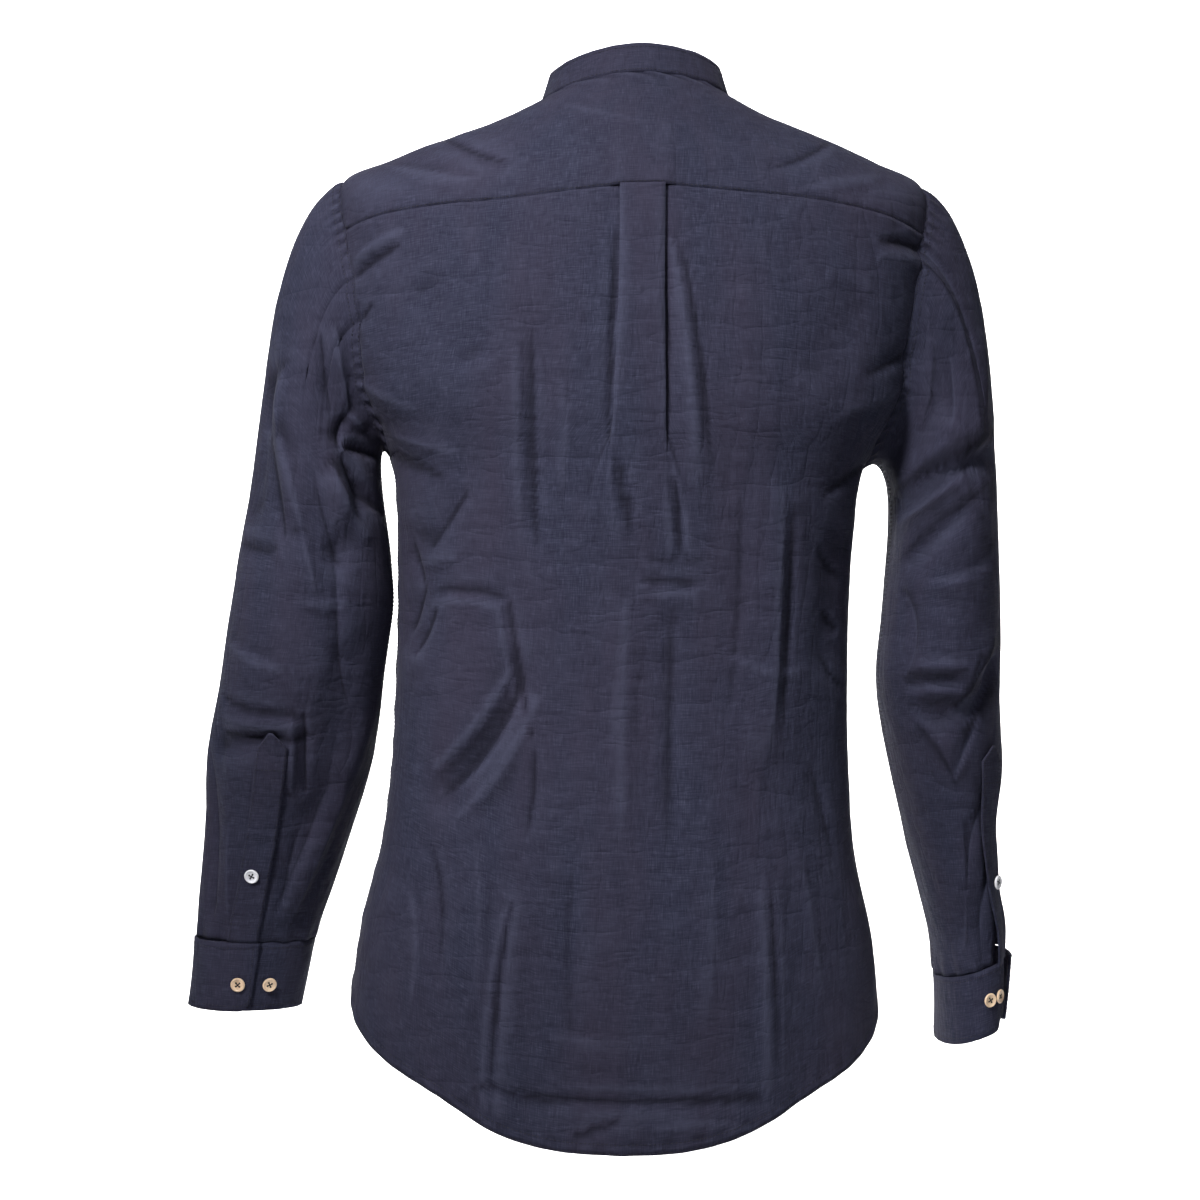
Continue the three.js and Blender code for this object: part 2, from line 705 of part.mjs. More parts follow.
// How far on its way over the right front the left one is, 0 to 1
function lapShare(turn, level) {
  return smooth((FRONT_LIFT_END - bodyPoint(turn, level).x) / (FRONT_LIFT_END - FRONT_LAP));
}

function leftFrontGrid() {
  return frontPlaces().map((row) =>
    row.map(([turn, level]) => bodyVertex(turn, level, LAYER * lapShare(turn, level))),
  );
}

function rightFrontGrid() {
  return frontPlaces().map((row) =>
    [...row].reverse().map(([turn, level]) => bodyVertex(-Math.PI - turn, level)),
  );
}

// Sleeves

const armholeLoop = [...armholeBack, ...armholeYoke.slice(1), ...[...armholeFront].reverse().slice(1, -1)];

// Which way and how strongly the sleeve leaves the armhole: over at the top, a small fold at the underarm
const LEAVE_TOP = { out: 160, up: -62 };
const LEAVE_SIDE = { out: 95, up: -45 };
const LEAVE_UNDER_LEFT = { out: 34, up: 34 };
const LEAVE_UNDER_RIGHT = { out: 74, up: 34 };
const LEAVE_IN = 44; // towards the armhole's middle, so that it first carries on the body's surface
const LEAVE_ROUND = { out: 1.2, up: 1.6 }; // how the way changes from the sides to the top and underarm
const OUTER_PART = { from: 0.4, over: 0.8 }; // where the sleeve's outer part starts, as a cosine
const ARRIVE = 1.05; // how strongly the cap meets the tube, in its own lengths
const ARRIVE_STEP = 8; // how far down the tube its way is taken from
const CAP_SHARES = [0, 0.05, 0.12, 0.21, 0.32, 0.44, 0.57, 0.7, 0.84];
const TUBE_PARTS = 14;

function armSection(rows, down, turn) {
  const { x, y, half, deep, rise } = along(rows, down);
  const c = -Math.cos(turn);
  return new THREE.Vector3(x + half * c, y + deep * Math.sin(turn), -down + rise * c);
}

// A sleeve's points, rows from the armhole down, always as for the wearer's left
function sleevePoints(rows, folds, slit, under, mirror) {
  const start = armholeLoop.map(([turn, level]) => {
    const place = mirror ? mirrorPlace([turn, level], Math.sign(turn) || 1) : [turn, level];
    const vertex = bodyVertex(...place);
    const toLeft = new THREE.Vector3(mirror ? -1 : 1, 1, 1);
    return {
      p: vertex.p.clone().multiply(toLeft),
      n: vertex.n.clone().multiply(toLeft),
      away: fromArmhole(vertex, mirror ? -1 : 1).multiply(toLeft),
    };
  });
  const sums = [0];
  start.forEach((vertex, i) => sums.push(sums[i] + vertex.p.distanceTo(start[(i + 1) % start.length].p)));
  const turns = start.map((_, i) => (2 * Math.PI * sums[i]) / sums.at(-1));
  const first = rows[0].down;
  const last = rows.at(-1).down;
  const columnOf = (turn) => {
    const { half, deep } = rows[2];
    return (turn / DEG) * (Math.PI / 360) * (half + deep);
  };
  const foldMap = folds.map((f) => ({
    u1: columnOf(f.turn1 * DEG),
    v1: f.down1,
    u2: columnOf(f.turn2 * DEG),
    v2: f.down2,
    across: f.across,
    out: f.out,
  }));
  const grid = [];
  for (const share of CAP_SHARES) {
    const s2 = share * share;
    const s3 = s2 * share;
    grid.push(
      start.map(({ p, away }, i) => {
        const c = -Math.cos(turns[i]);
        const leave = c > 0 ? LEAVE_TOP : under;
        const out = lerp(LEAVE_SIDE.out, leave.out, Math.abs(c) ** LEAVE_ROUND.out);
        const up = lerp(LEAVE_SIDE.up, leave.up, Math.abs(c) ** LEAVE_ROUND.up);
        const inward = LEAVE_IN * smooth((OUTER_PART.from - c) / OUTER_PART.over);
        const end = armSection(rows, first, turns[i]);
        const down = armSection(rows, first + ARRIVE_STEP, turns[i]).sub(end).normalize();
        const arrive = down.multiplyScalar(end.distanceTo(p) * ARRIVE);
        return p
          .clone()
          .multiplyScalar(2 * s3 - 3 * s2 + 1)
          .addScaledVector(new THREE.Vector3(out, 0, up), s3 - 2 * s2 + share)
          .addScaledVector(away, -inward * (s3 - 2 * s2 + share))
          .addScaledVector(end, 3 * s2 - 2 * s3)
          .addScaledVector(arrive, s3 - s2);
      }),
    );
  }
  for (let j = 0; j <= TUBE_PARTS; j += 1) {
    const down = lerp(first, last, j / TUBE_PARTS);
    grid.push(turns.map((turn) => armSection(rows, down, turn)));
  }
  const vertices = withNormals(grid, true);
  vertices.forEach((row, j) => {
    row.forEach((vertex, i) => {
      if (j === 0) return;
      const fade = smooth(j / 5) * smooth((vertices.length - 1 - j) / 3);
      vertex.p.addScaledVector(vertex.n, fade * foldHeight(foldMap, columnOf(turns[i]), -vertex.p.z));
    });
  });
  // The slit parts the column next to its turn, more and more towards the cuff
  const slitColumn = turns.findIndex((turn) => turn > slit.turn) - 1;
  const downOf = (j) => (j < CAP_SHARES.length ? 0 : lerp(first, last, (j - CAP_SHARES.length) / TUBE_PARTS));
  vertices.forEach((row, j) => {
    const down = downOf(j);
    if (down < SLIT_TOP) return;
    const a = row[slitColumn];
    const b = row[slitColumn + 1];
    const width = a.p.distanceTo(b.p);
    const open = lerp(SLIT_TIP, slit.open, clamp01((down - SLIT_TOP) / (last - SLIT_TOP)));
    const way = b.p.clone().sub(a.p).normalize();
    a.p.addScaledVector(way, (width - open) / 2);
    b.p.addScaledVector(way, -(width - open) / 2);
  });
  vertices[0].forEach((vertex, i) => {
    vertex.n = start[i].n;
    vertex.p.addScaledVector(start[i].away, -SEAM_GAP / 2);
  });
  return { vertices, slitColumn, downOf };
}

// The sleeve as a wall, without the cells between the two edges of its slit
function sleeveWall({ vertices, slitColumn, downOf }, mirror) {
  const cut = (i, j) => i === slitColumn && downOf(j) >= SLIT_TOP;
  if (!mirror) return wall(vertices, WALL, { closed: true, keep: (i, j) => !cut(i, j) });
  const last = vertices.length - 2;
  return wall(mirrored(vertices), WALL, { closed: true, keep: (i, j) => !cut(i, last - j) });
}

// A grid of points laid on the arm's surface between two turns, lifted off it
function onArm(rows, turns, downs, lift) {
  return downs.map((down) =>
    turns(down).map((turn) => {
      const p = armSection(rows, down, turn);
      const round = armSection(rows, down, turn + 0.02).sub(armSection(rows, down, turn - 0.02));
      const up = armSection(rows, down - 2, turn).sub(armSection(rows, down + 2, turn));
      const n = up.cross(round).normalize();
      return { p: p.addScaledVector(n, lift(turn, down)), n };
    }),
  );
}

// A strip laid over the slit, pointed at the top. Its inner edge is free and, where the cuff is undone, stands off
function placketGrid(rows, slit, stand) {
  const bottom = rows.at(-1).down;
  const tip = SLIT_TOP - PLACKET_POINT;
  const downs = [tip, SLIT_TOP, ...spread(SLIT_TOP, bottom, PLACKET_PARTS, (down) => down).slice(1)];
  const columns = [-PLACKET_SHARE, -PLACKET_SHARE / 2, 0, 1 - PLACKET_SHARE];
  const perMm = (down) => {
    const step = armSection(rows, down, slit.turn + 0.01).distanceTo(armSection(rows, down, slit.turn));
    return 0.01 / step;
  };
  const turns = (down) => {
    const width = down === tip ? PLACKET_TIP_WIDTH : PLACKET_WIDTH;
    return columns.map((share) => slit.turn + share * width * perMm(down));
  };
  const lift = (turn, down) => {
    const free = clamp01((slit.turn - turn) / (PLACKET_SHARE * PLACKET_WIDTH * perMm(down)));
    return PLACKET_LIFT + stand * free * smooth((down - SLIT_TOP) / (bottom - SLIT_TOP));
  };
  return onArm(rows, turns, downs, lift);
}

// A cuff is one strip round the wrist from its outer end to its under end
function cuffGrid(rows, { from, to, columns, lift }) {
  const [top, bottom] = [rows[0].down, rows.at(-1).down];
  const turns = spread(from, to, columns, (turn) => turn);
  const radius = (rows[1].half + rows[1].deep) / 2;
  return CUFF_ROWS.map((share) =>
    turns.map((turn) => {
      const fromEnd = Math.min(turn - from, to - turn) * radius;
      const inside = Math.max(0, CUFF_ROUND - fromEnd);
      const cut = CUFF_ROUND - Math.sqrt(CUFF_ROUND ** 2 - inside ** 2);
      return onArm(rows, () => [turn], [lerp(top, bottom - cut, share)], () => lift(turn))[0][0];
    }),
  );
}

function leftCuffLift(turn) {
  return BAND_LAYER * (1 - smooth((turn - LEFT_CUFF.from - LEFT_CUFF.lap) / LEFT_CUFF.ease));
}

function rightCuffLift(turn) {
  const { from, to, flare, ease } = RIGHT_CUFF;
  const start = 1 - smooth((turn - from) / ease);
  const end = smooth((turn - to + ease) / ease);
  return flare * start + (flare / 2) * end;
}

// Collar

function collarGrid() {
  const { neck } = yokeEdges();
  const left = [...neckLap, ...neckFront.slice(1, -1)];
  const right = [...left].reverse().map((place) => mirrorPlace(place, 1));
  const places = [...left, ...neck, ...right];
  const base = places.map(([turn]) => {
    const lapping = turn < -Math.PI / 4 ? lapShare(turn, NECK_LEVEL) : 0;
    return { p: bodyVertex(turn, NECK_LEVEL, LAYER * lapping).p, turn, lapping };
  });
  const axis = new THREE.Vector3(0, -Math.sin(NECK_TILT), Math.cos(NECK_TILT));
  const ends = [base[0].p, base.at(-1).p];
  return COLLAR_ROWS.map((share) =>
    base.map(({ p, turn, lapping }) => {
      const round = bodyPoint(turn + 0.01, NECK_LEVEL).sub(bodyPoint(turn - 0.01, NECK_LEVEL));
      const out = round.clone().cross(axis).normalize();
      const up = axis.clone().multiplyScalar(Math.cos(COLLAR_LEAN));
      up.addScaledVector(out, -Math.sin(COLLAR_LEAN));
      const arrive = bodyPoint(turn, NECK_LEVEL).sub(bodyPoint(turn, NECK_LEVEL - 2)).normalize();
      const bend = Math.acos(Math.min(1, arrive.dot(up)));
      const start = SEAM_GAP + ((BAND_WALL + WALL) / 2) * Math.tan(bend / 2);
      const end = turn < Math.PI / 2 ? ends[0] : ends[1];
      const inside = Math.max(0, COLLAR_ROUND - p.distanceTo(end));
      const cut = COLLAR_ROUND - Math.sqrt(COLLAR_ROUND ** 2 - inside ** 2);
      const n = round.cross(up).normalize();
      const height = lerp(start, COLLAR_HEIGHT - cut, share);
      const layer = (BAND_LAYER - LAYER * bodyNormal(turn, NECK_LEVEL).dot(n)) * lapping;
      return { p: p.clone().addScaledVector(up, height).addScaledVector(n, layer), n };
    }),
  );
}

// Buttons

const BUTTON_SECTION = [
  [0, 0],
  [5.0, 0],
  [5.6, 0.8],
  [5.6, 1.6],
  [4.9, 2.4],
  [4.0, 1.8],
  [0, 1.8],
];

// A button whose back lies just off a panel of a given thickness
function addButton(name, { p, n }, thickness, finish) {
  const section = BUTTON_SECTION.map(([r, h]) => new THREE.Vector2(r, h));
  const geometry = new THREE.LatheGeometry(section, BUTTON_SIDES);
  geometry.deleteAttribute("uv");
  geometry.deleteAttribute("normal");
  const place = p.clone().addScaledVector(n, thickness / 2 + BUTTON_CLEAR);
  const turn = new THREE.Quaternion().setFromUnitVectors(new THREE.Vector3(0, 1, 0), n);
  geometry.applyMatrix4(new THREE.Matrix4().compose(place, turn, new THREE.Vector3(1, 1, 1)));
  addPiece(name, geometry, finish);
}

// A place on the left front's middle line
function onFront(height) {
  const turn = -Math.PI / 2;
  let [low, high] = [SIDE_HEM_LEVEL, NECK_LEVEL];
  for (let i = 0; i < 30; i += 1) {
    const level = (low + high) / 2;
    if (bodyPoint(turn, level).z < height) low = level;
    else high = level;
  }
  return bodyVertex(turn, low, LAYER);
}

// The middle of the collar's outer end
function onCollar() {
  const collar = collarGrid();
  const column = frontColumns.indexOf(0);
  const [low, high] = [collar[1][column], collar[2][column]];
  return { p: low.p.clone().lerp(high.p, COLLAR_BUTTON_SHARE), n: low.n };
}

// All the pieces

const armholeFrom = PARTS.side;
addPiece("back", wall(parted(backGrid(), { left: 1, right: -1, armholeFrom }), WALL), CLOTH);
addPiece("yoke", wall(parted(yokeGrid(), { left: 1, right: -1 }), WALL), CLOTH);
addPiece("front_left", wall(parted(leftFrontGrid(), { right: 1, armholeFrom }), WALL), CLOTH);
addPiece("front_right", wall(parted(rightFrontGrid(), { left: -1, armholeFrom }), WALL), CLOTH);
addPiece("collar_band", wall(collarGrid(), BAND_WALL), CLOTH_BAND);

const leftSleeve = sleevePoints(ARM_LEFT, FOLDS_LEFT, LEFT_SLIT, LEAVE_UNDER_LEFT, false);
const rightSleeve = sleevePoints(ARM_RIGHT, FOLDS_RIGHT, RIGHT_SLIT, LEAVE_UNDER_RIGHT, true);
addPiece("sleeve_left", sleeveWall(leftSleeve, false), CLOTH);
addPiece("sleeve_right", sleeveWall(rightSleeve, true), CLOTH);

const leftPlacket = placketGrid(ARM_LEFT, LEFT_SLIT, 0);
const rightPlacket = mirrored(placketGrid(ARM_RIGHT, RIGHT_SLIT, RIGHT_PLACKET_STAND));
addPiece("sleeve_placket_left", wall(leftPlacket, PLACKET_WALL), CLOTH_BAND);
addPiece("sleeve_placket_right", wall(rightPlacket, PLACKET_WALL), CLOTH_BAND);

const leftCuff = cuffGrid(CUFF_LEFT, { ...LEFT_CUFF, lift: leftCuffLift });
const rightCuff = cuffGrid(CUFF_RIGHT, { ...RIGHT_CUFF, lift: rightCuffLift });
addPiece("cuff_left", wall(leftCuff, BAND_WALL), CLOTH_BAND);
addPiece("cuff_right", wall(mirrored(rightCuff), BAND_WALL), CLOTH_BAND);

for (let i = 0; i < FRONT_BUTTONS; i += 1) {
  const place = onFront(FRONT_BUTTON_FIRST - i * FRONT_BUTTON_STEP);
  addButton(`front_button_${i + 1}`, place, WALL, PEARL);
}
addButton("collar_button", onCollar(), BAND_WALL, PEARL);
for (const { name, piece, down, turn, lift } of ARM_BUTTONS) {
  const right = name.includes("right");
  const cuff = right ? CUFF_RIGHT : CUFF_LEFT;
  const sleeve = right ? ARM_RIGHT : ARM_LEFT;
  const grid = onArm(piece === "cuff" ? cuff : sleeve, () => [turn * DEG], [down], () => lift);
  const place = (right ? mirrored(grid) : grid)[0][0];
  addButton(name, place, piece === "cuff" ? BAND_WALL : PLACKET_WALL, piece === "cuff" ? HORN : PEARL);
}

export default shirt;
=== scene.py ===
"""A man's long-sleeve shirt with a band collar, filled out as when it is worn, dressed over its cut pieces.

Sizes in the tables are millimetres in the shirt's own frame: +Z is up, the back faces +Y and the wearer's
left is +X.
"""

import math

import bmesh
import bpy
import numpy as np
from mathutils import Matrix, Vector, noise


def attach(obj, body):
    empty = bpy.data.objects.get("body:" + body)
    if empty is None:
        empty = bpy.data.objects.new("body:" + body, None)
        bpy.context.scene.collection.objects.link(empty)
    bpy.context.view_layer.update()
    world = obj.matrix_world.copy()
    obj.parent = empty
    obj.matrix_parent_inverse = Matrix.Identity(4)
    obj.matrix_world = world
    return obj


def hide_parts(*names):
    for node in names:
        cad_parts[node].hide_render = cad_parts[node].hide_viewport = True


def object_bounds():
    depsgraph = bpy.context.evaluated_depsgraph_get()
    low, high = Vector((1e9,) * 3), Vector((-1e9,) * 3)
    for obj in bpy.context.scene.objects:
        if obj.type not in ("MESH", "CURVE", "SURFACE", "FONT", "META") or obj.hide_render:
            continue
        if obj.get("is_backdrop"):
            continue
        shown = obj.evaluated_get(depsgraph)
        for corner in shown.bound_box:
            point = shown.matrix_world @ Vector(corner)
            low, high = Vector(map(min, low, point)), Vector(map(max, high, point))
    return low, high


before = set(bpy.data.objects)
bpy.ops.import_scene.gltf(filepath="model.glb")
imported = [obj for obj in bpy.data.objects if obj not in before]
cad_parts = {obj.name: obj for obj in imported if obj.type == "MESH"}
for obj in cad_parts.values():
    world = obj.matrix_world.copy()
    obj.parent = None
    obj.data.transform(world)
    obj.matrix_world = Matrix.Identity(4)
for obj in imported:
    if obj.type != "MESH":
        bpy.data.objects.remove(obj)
LOADED_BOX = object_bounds()

bl_info = {
    "name": "Band collar shirt",
    "version": (1, 0, 0),
    "blender": (4, 5, 0),
    "location": "View3D > Sidebar > Shirt",
    "description": "Dresses the packed shirt with cloth, seams, stitches and buttons",
    "category": "Object",
}

MM = 0.001
DEG = math.pi / 180
MIRROR = np.array([-1, 1, 1])


class Curve:
    """Rows of named columns with a smooth curve through them along the first column."""

    def __init__(self, columns, rows):
        self.columns = columns
        self.rows = np.array(rows, float)

    def at(self, where):
        key = self.rows[:, 0]
        where = np.clip(where, key[0], key[-1])
        i = np.clip(np.searchsorted(key, where, side="left") - 1, 0, len(key) - 2)
        step = key[i + 1] - key[i]
        t = ((where - key[i]) / step)[..., None]
        slopes = np.empty_like(self.rows)
        slopes[1:-1] = (self.rows[2:] - self.rows[:-2]) / (key[2:] - key[:-2])[:, None]
        slopes[0] = (self.rows[1] - self.rows[0]) / (key[1] - key[0])
        slopes[-1] = (self.rows[-1] - self.rows[-2]) / (key[-1] - key[-2])
        value = (
            (2 * t**3 - 3 * t**2 + 1) * self.rows[i]
            + (t**3 - 2 * t**2 + t) * slopes[i] * step[..., None]
            + (3 * t**2 - 2 * t**3) * self.rows[i + 1]
            + (t**3 - t**2) * slopes[i + 1] * step[..., None]
        )
        return {name: value[..., k] for k, name in enumerate(self.columns)}


# Levels run along the side line of the body, from the hem up over the shoulder to the neck
UNDERARM_LEVEL = -276
SIDE_HEM_LEVEL = -684
SHOULDER_LEVEL = -62
NECK_LEVEL = 80

BODY = Curve(
    ["level", "half", "back", "front", "sideZ", "backZ", "frontZ", "square"],
    [
        [-830, 206, 106, 116, -830, -830, -830, 2.3],
        [-740, 207, 109, 118, -740, -740, -740, 2.3],
        [-690, 204, 111, 119, -690, -690, -690, 2.3],
        [-640, 198, 111, 118, -640, -640, -640, 2.3],
        [-570, 182.5, 107, 115, -570, -570, -570, 2.35],
        [-510, 177, 103, 113, -510, -510, -510, 2.35],
        [-440, 175, 102, 113, -440, -440, -440, 2.4],
        [-370, 175, 105, 116, -370, -370, -370, 2.4],
        [-320, 177, 109, 120, -320, -321, -322, 2.45],
        [-276, 184, 112, 122, -276, -280, -282, 2.5],
        [-225, 212, 115, 122, -222, -236, -240, 2.8],
        [-160, 224, 114, 119, -158, -184, -190, 2.9],
        [-105, 228, 110, 112, -104, -142, -150, 2.8],
        [-62, 223, 104, 104, -62, -107, -118, 2.6],
        [-30, 187, 98, 96, -44, -80, -99, 2.35],
        [5, 148, 89, 86, -28, -51, -82, 2.15],
        [45, 106, 75, 72, -12, -16, -68, 2.0],
        [80, 73, 60, 57, 2, 15, -57, 2.0],
    ],
)
SHOULDER_TIP = 5.5
SHOULDER_TIP_REACH = 115
SHOULDER_RAISE = 1
MEAN_REACH = 150

# How far the hem drops below the side seams, by the turn from a side seam in degrees
HEM = Curve(
    ["turn", "back", "front"],
    [
        [0, 0, 0],
        [20, 26, 22],
        [35, 46, 38],
        [50, 66, 52],
        [65, 93, 62],
        [77, 104, 66],
        [90, 107, 66],
    ],
)

ARMHOLE_TURN = 31 * DEG
ARMHOLE_SQUARE = 0.8
BACK_YOKE_AT = 131 * DEG
FRONT_YOKE_AT = 203 * DEG
YOKE_SEAM_LEVEL_MIDDLE = -27
FRONT_YOKE_NECK_TURN = -25 * DEG
FRONT_HOLD = 9

# How many cells away creases are felt, and how strongly, in the painted shade of creases and the painted
# highlight of ridges
SHADE_HOLLOW_REACH = ((1, 0.7), (2, 0.3), (4, 0.08))

FRONT_LAP = 16
FRONT_LIFT_END = 34
LAP_CELLS = 16
LAP_MIDDLE_COLUMN = round(FRONT_LAP / (FRONT_LAP + FRONT_LIFT_END) * LAP_CELLS)
FRONT_BUTTON_FIRST = -100
FRONT_BUTTON_STEP = 84
FRONT_BUTTONS = 7
LAYER = 2.1

# Box pleat at each height of the back's middle: its half width, how far its cloth is folded under,
# how far its face stands up and how far each step has opened out
PLEAT = Curve(
    ["level", "half", "fold", "high", "spread"],
    [
        [-830, 22, -13, 0, 12],
        [-480, 22, -13, 0, 12],
        [-372, 22, -12, 0.8, 10],
        [-337, 21.5, -9.5, 1.3, 7.5],
        [-302, 21, -6, 2.0, 4.5],
        [-268, 20, -1, 2.6, 1.9],
        [-258, 19.5, 0.8, 3.1, 1.2],
        [-244, 19, 3.4, 3.8, 0],
        [-220, 18.5, 5, 4.0, 0],
        [-120, 16.5, 9, 4.0, 0],
        [0, 16.5, 10, 4.0, 0],
    ],
)
PLEAT_LEAD = 8
PLEAT_INSET = 3
PLEAT_LEVELS = 1.4
YOKE_OVER = {"lift": 2, "gap": 0.5, "reach": 28, "fade": 12, "share": 0.5}

# Large soft folds of the body, the same as in the solids: face, x1, z1, x2, z2, across, out
BODY_FOLDS = [
    [1, -106, -290, -98, -505, 20, 4],
    [1, 82, -430, 136, -536, 17, -4],
    [1, 76, -180, 72, -350, 20, -2.5],
    [1, -30, -150, -44, -300, 13, 3],
    [1, 158, -330, 165, -420, 13, -4],
    [1, -160, -330, -150, -430, 15, -3.5],
    [1, 84, -600, 94, -770, 12, 3],
    [1, -104, -585, -112, -768, 12, 3],
    [1, 84, -748, -112, -748, 9, -2],
    [1, 160, -150, 120, -210, 18, -3],
    [1, -165, -150, -128, -215, 18, -3],
    [-1, 60, -160, 100, -330, 20, -3],
    [-1, -62, -170, -96, -350, 20, -3],
    [-1, 110, -400, 80, -560, 18, 3.5],
    [-1, -120, -430, -84, -580, 18, 3.5],
    [-1, 130, -640, 150, -740, 16, 3],
    [-1, -128, -630, -146, -735, 16, 3],
]

# Creases of the cloth, seen from behind (face 1) or from the front (face -1). Each bends from its first place
# over a middle one to its last: face, x1, z1, xm, zm, x2, z2, across, out. across is its half width and out
# its height, or below zero its depth
BODY_CREASES = [
    # beside and below the pleat
    [1, 18.5, -106, 20, -170, 22, -268, 3, -2.6],
    [1, -18.5, -106, -20, -170, -22, -262, 3, -1.2],
    [1, -20, -112, -38, -190, -45, -290, 7, 1.8],
    [1, -29, -120, -46, -200, -54, -285, 5, -1.2],
    [1, 79, -185, 78, -270, 72, -345, 6, -1.8],
    [1, 90, -190, 90, -270, 84, -345, 8, 1.2],
    [1, 15, -275, 9, -302, 2, -338, 4, -1.6],
    [1, 22, -275, 18, -310, 12, -350, 6, 1.1],
    [1, -27, -290, -33, -315, -34, -352, 4, -1.9],
    [1, -20, -295, -25, -320, -26, -352, 5, 1.2],
    [1, 2, -370, 12, -440, 6, -560, 11, 1.3],
    [1, -30, -380, -22, -460, -34, -590, 10, -1.2],
    # left half
    [1, 80, -440, 92, -492, 137, -531, 6, -2.6],
    [1, 88, -432, 106, -478, 146, -514, 8, 3.0],
    [1, 68, -452, 84, -510, 128, -548, 8, 1.8],
    [1, 152, -379, 121, -372, 92, -381, 4, -1.6],
    [1, 150, -388, 121, -383, 94, -390, 5, 1.1],
    [1, 91, -380, 86, -424, 71, -490, 5, -1.5],
    [1, 99, -385, 95, -424, 82, -470, 6, 1.2],
    [1, 71, -490, 67, -520, 75, -560, 6, -1.3],
    [1, 166, -340, 162, -360, 156, -376, 4, -2.0],
    [1, 154, -374, 161, -390, 166, -411, 4, -2.2],
    [1, 144, -390, 150, -410, 162, -430, 4, -1.8],
    [1, 128, -352, 146, -360, 164, -356, 5, 1.2],
    [1, 120, -300, 138, -330, 152, -350, 8, -1.6],
    [1, 58, -220, 50, -260, 56, -310, 9, 0.9],
    [1, 148, -560, 130, -600, 138, -660, 8, -1.4],
    [1, 160, -600, 148, -640, 158, -690, 7, 1.4],
    [1, 112, -560, 104, -620, 110, -690, 9, 1.2],
    [1, 40, -560, 46, -640, 38, -720, 12, -1.1],
    # right half
    [1, -107, -290, -110, -400, -104, -492, 6, 2.0],
    [1, -117, -300, -120, -400, -113, -492, 6, -1.8],
    [1, -75, -300, -82, -380, -72, -470, 9, -1.0],
    [1, 2, -364, -26, -369, -55, -368, 3.5, -1.2],
    [1, 0, -373, -26, -379, -50, -377, 4, 0.8],
    [1, -5, -352, -28, -356, -52, -352, 4, -0.7],
    [1, -70, -420, -100, -440, -140, -430, 7, 0.9],
    [1, -148, -386, -155, -396, -164, -402, 4, -1.9],
    [1, -140, -340, -152, -356, -166, -362, 5, -1.7],
    [1, -146, -420, -156, -440, -168, -446, 5, -1.4],
    [1, -138, -500, -150, -540, -160, -580, 8, -1.5],
    [1, -128, -560, -140, -620, -150, -680, 8, 1.2],
    [1, -60, -560, -66, -640, -58, -700, 12, 1.0],
    # pressed lines of the tail
    [1, 83, -602, 97, -672, 95, -770, 3, -1.7],
    [1, 89, -610, 104, -680, 102, -765, 5, 1.2],
    [1, -105, -580, -113, -640, -115, -770, 3, -1.6],
    [1, -98, -590, -105, -660, -107, -765, 5, 1.2],
    [1, 110, -744, 92, -734, 77, -750, 3, -1.5],
    [1, 77, -749, -20, -751, -115, -748, 2.6, -1.5],
    [1, 77, -741, -20, -743, -112, -740, 4.5, 1.0],
    [1, 38, -775, 20, -772, 4, -764, 4, -1.4],
    [1, -20, -770, -60, -762, -96, -772, 5, 1.2],
    [1, 60, -700, 20, -712, -40, -706, 8, 0.8],
    # folds that run in from the armholes
    [1, 217, -150, 200, -134, 176, -123, 5, -2.8],
    [1, 214, -138, 196, -122, 172, -113, 6, 2.0],
    [1, 215, -190, 208, -178, 196, -166, 4, -2.0],
    [1, 208, -220, 190, -236, 160, -246, 9, 1.6],
    [1, 188, -274, 170, -282, 138, -296, 6, -2.2],
    [1, 184, -262, 160, -270, 128, -276, 8, 1.7],
    [1, -178, -110, -205, -104, -232, -113, 5, -3.0],
    [1, -176, -121, -204, -116, -228, -126, 6, 2.2],
    [1, -222, -180, -200, -200, -168, -212, 8, -1.8],
    [1, -210, -210, -185, -232, -150, -240, 9, 1.6],
    [1, -188, -272, -170, -286, -140, -302, 6, -2.0],
    # yoke
    [1, 150, -30, 130, -50, 96, -62, 7, -1.4],
    [1, 190, -60, 160, -72, 120, -76, 6, 1.3],
    [1, -150, -26, -128, -48, -92, -60, 7, -1.4],
    [1, -186, -56, -156, -70, -118, -74, 6, 1.3],
    [1, 60, -10, 30, -24, -10, -26, 8, 0.9],
    # front, hidden in the photo
    [-1, 188, -268, 160, -286, 128, -310, 7, -2.4],
    [-1, 184, -252, 150, -268, 116, -280, 9, 1.8],
    [-1, -188, -268, -160, -288, -126, -312, 7, -2.4],
    [-1, -184, -252, -150, -266, -112, -282, 9, 1.8],
    [-1, 205, -150, 180, -140, 150, -150, 6, -2.0],
    [-1, -205, -150, -180, -142, -148, -152, 6, -2.0],
    [-1, 160, -350, 140, -372, 110, -380, 5, -1.6],
    [-1, -160, -346, -138, -370, -104, -376, 5, -1.6],
    [-1, 60, -300, 66, -400, 52, -500, 9, 1.3],
    [-1, -58, -300, -66, -400, -50, -520, 9, 1.3],
    [-1, 150, -420, 130, -470, 96, -500, 7, -1.7],
    [-1, -150, -430, -128, -476, -92, -506, 7, -1.7],
    [-1, 118, -560, 110, -640, 120, -720, 7, -1.4],
    [-1, -116, -560, -108, -640, -122, -720, 7, -1.4],
    [-1, 70, -540, 76, -620, 68, -730, 9, 1.0],
    [-1, -72, -540, -78, -620, -66, -730, 9, 1.0],
]
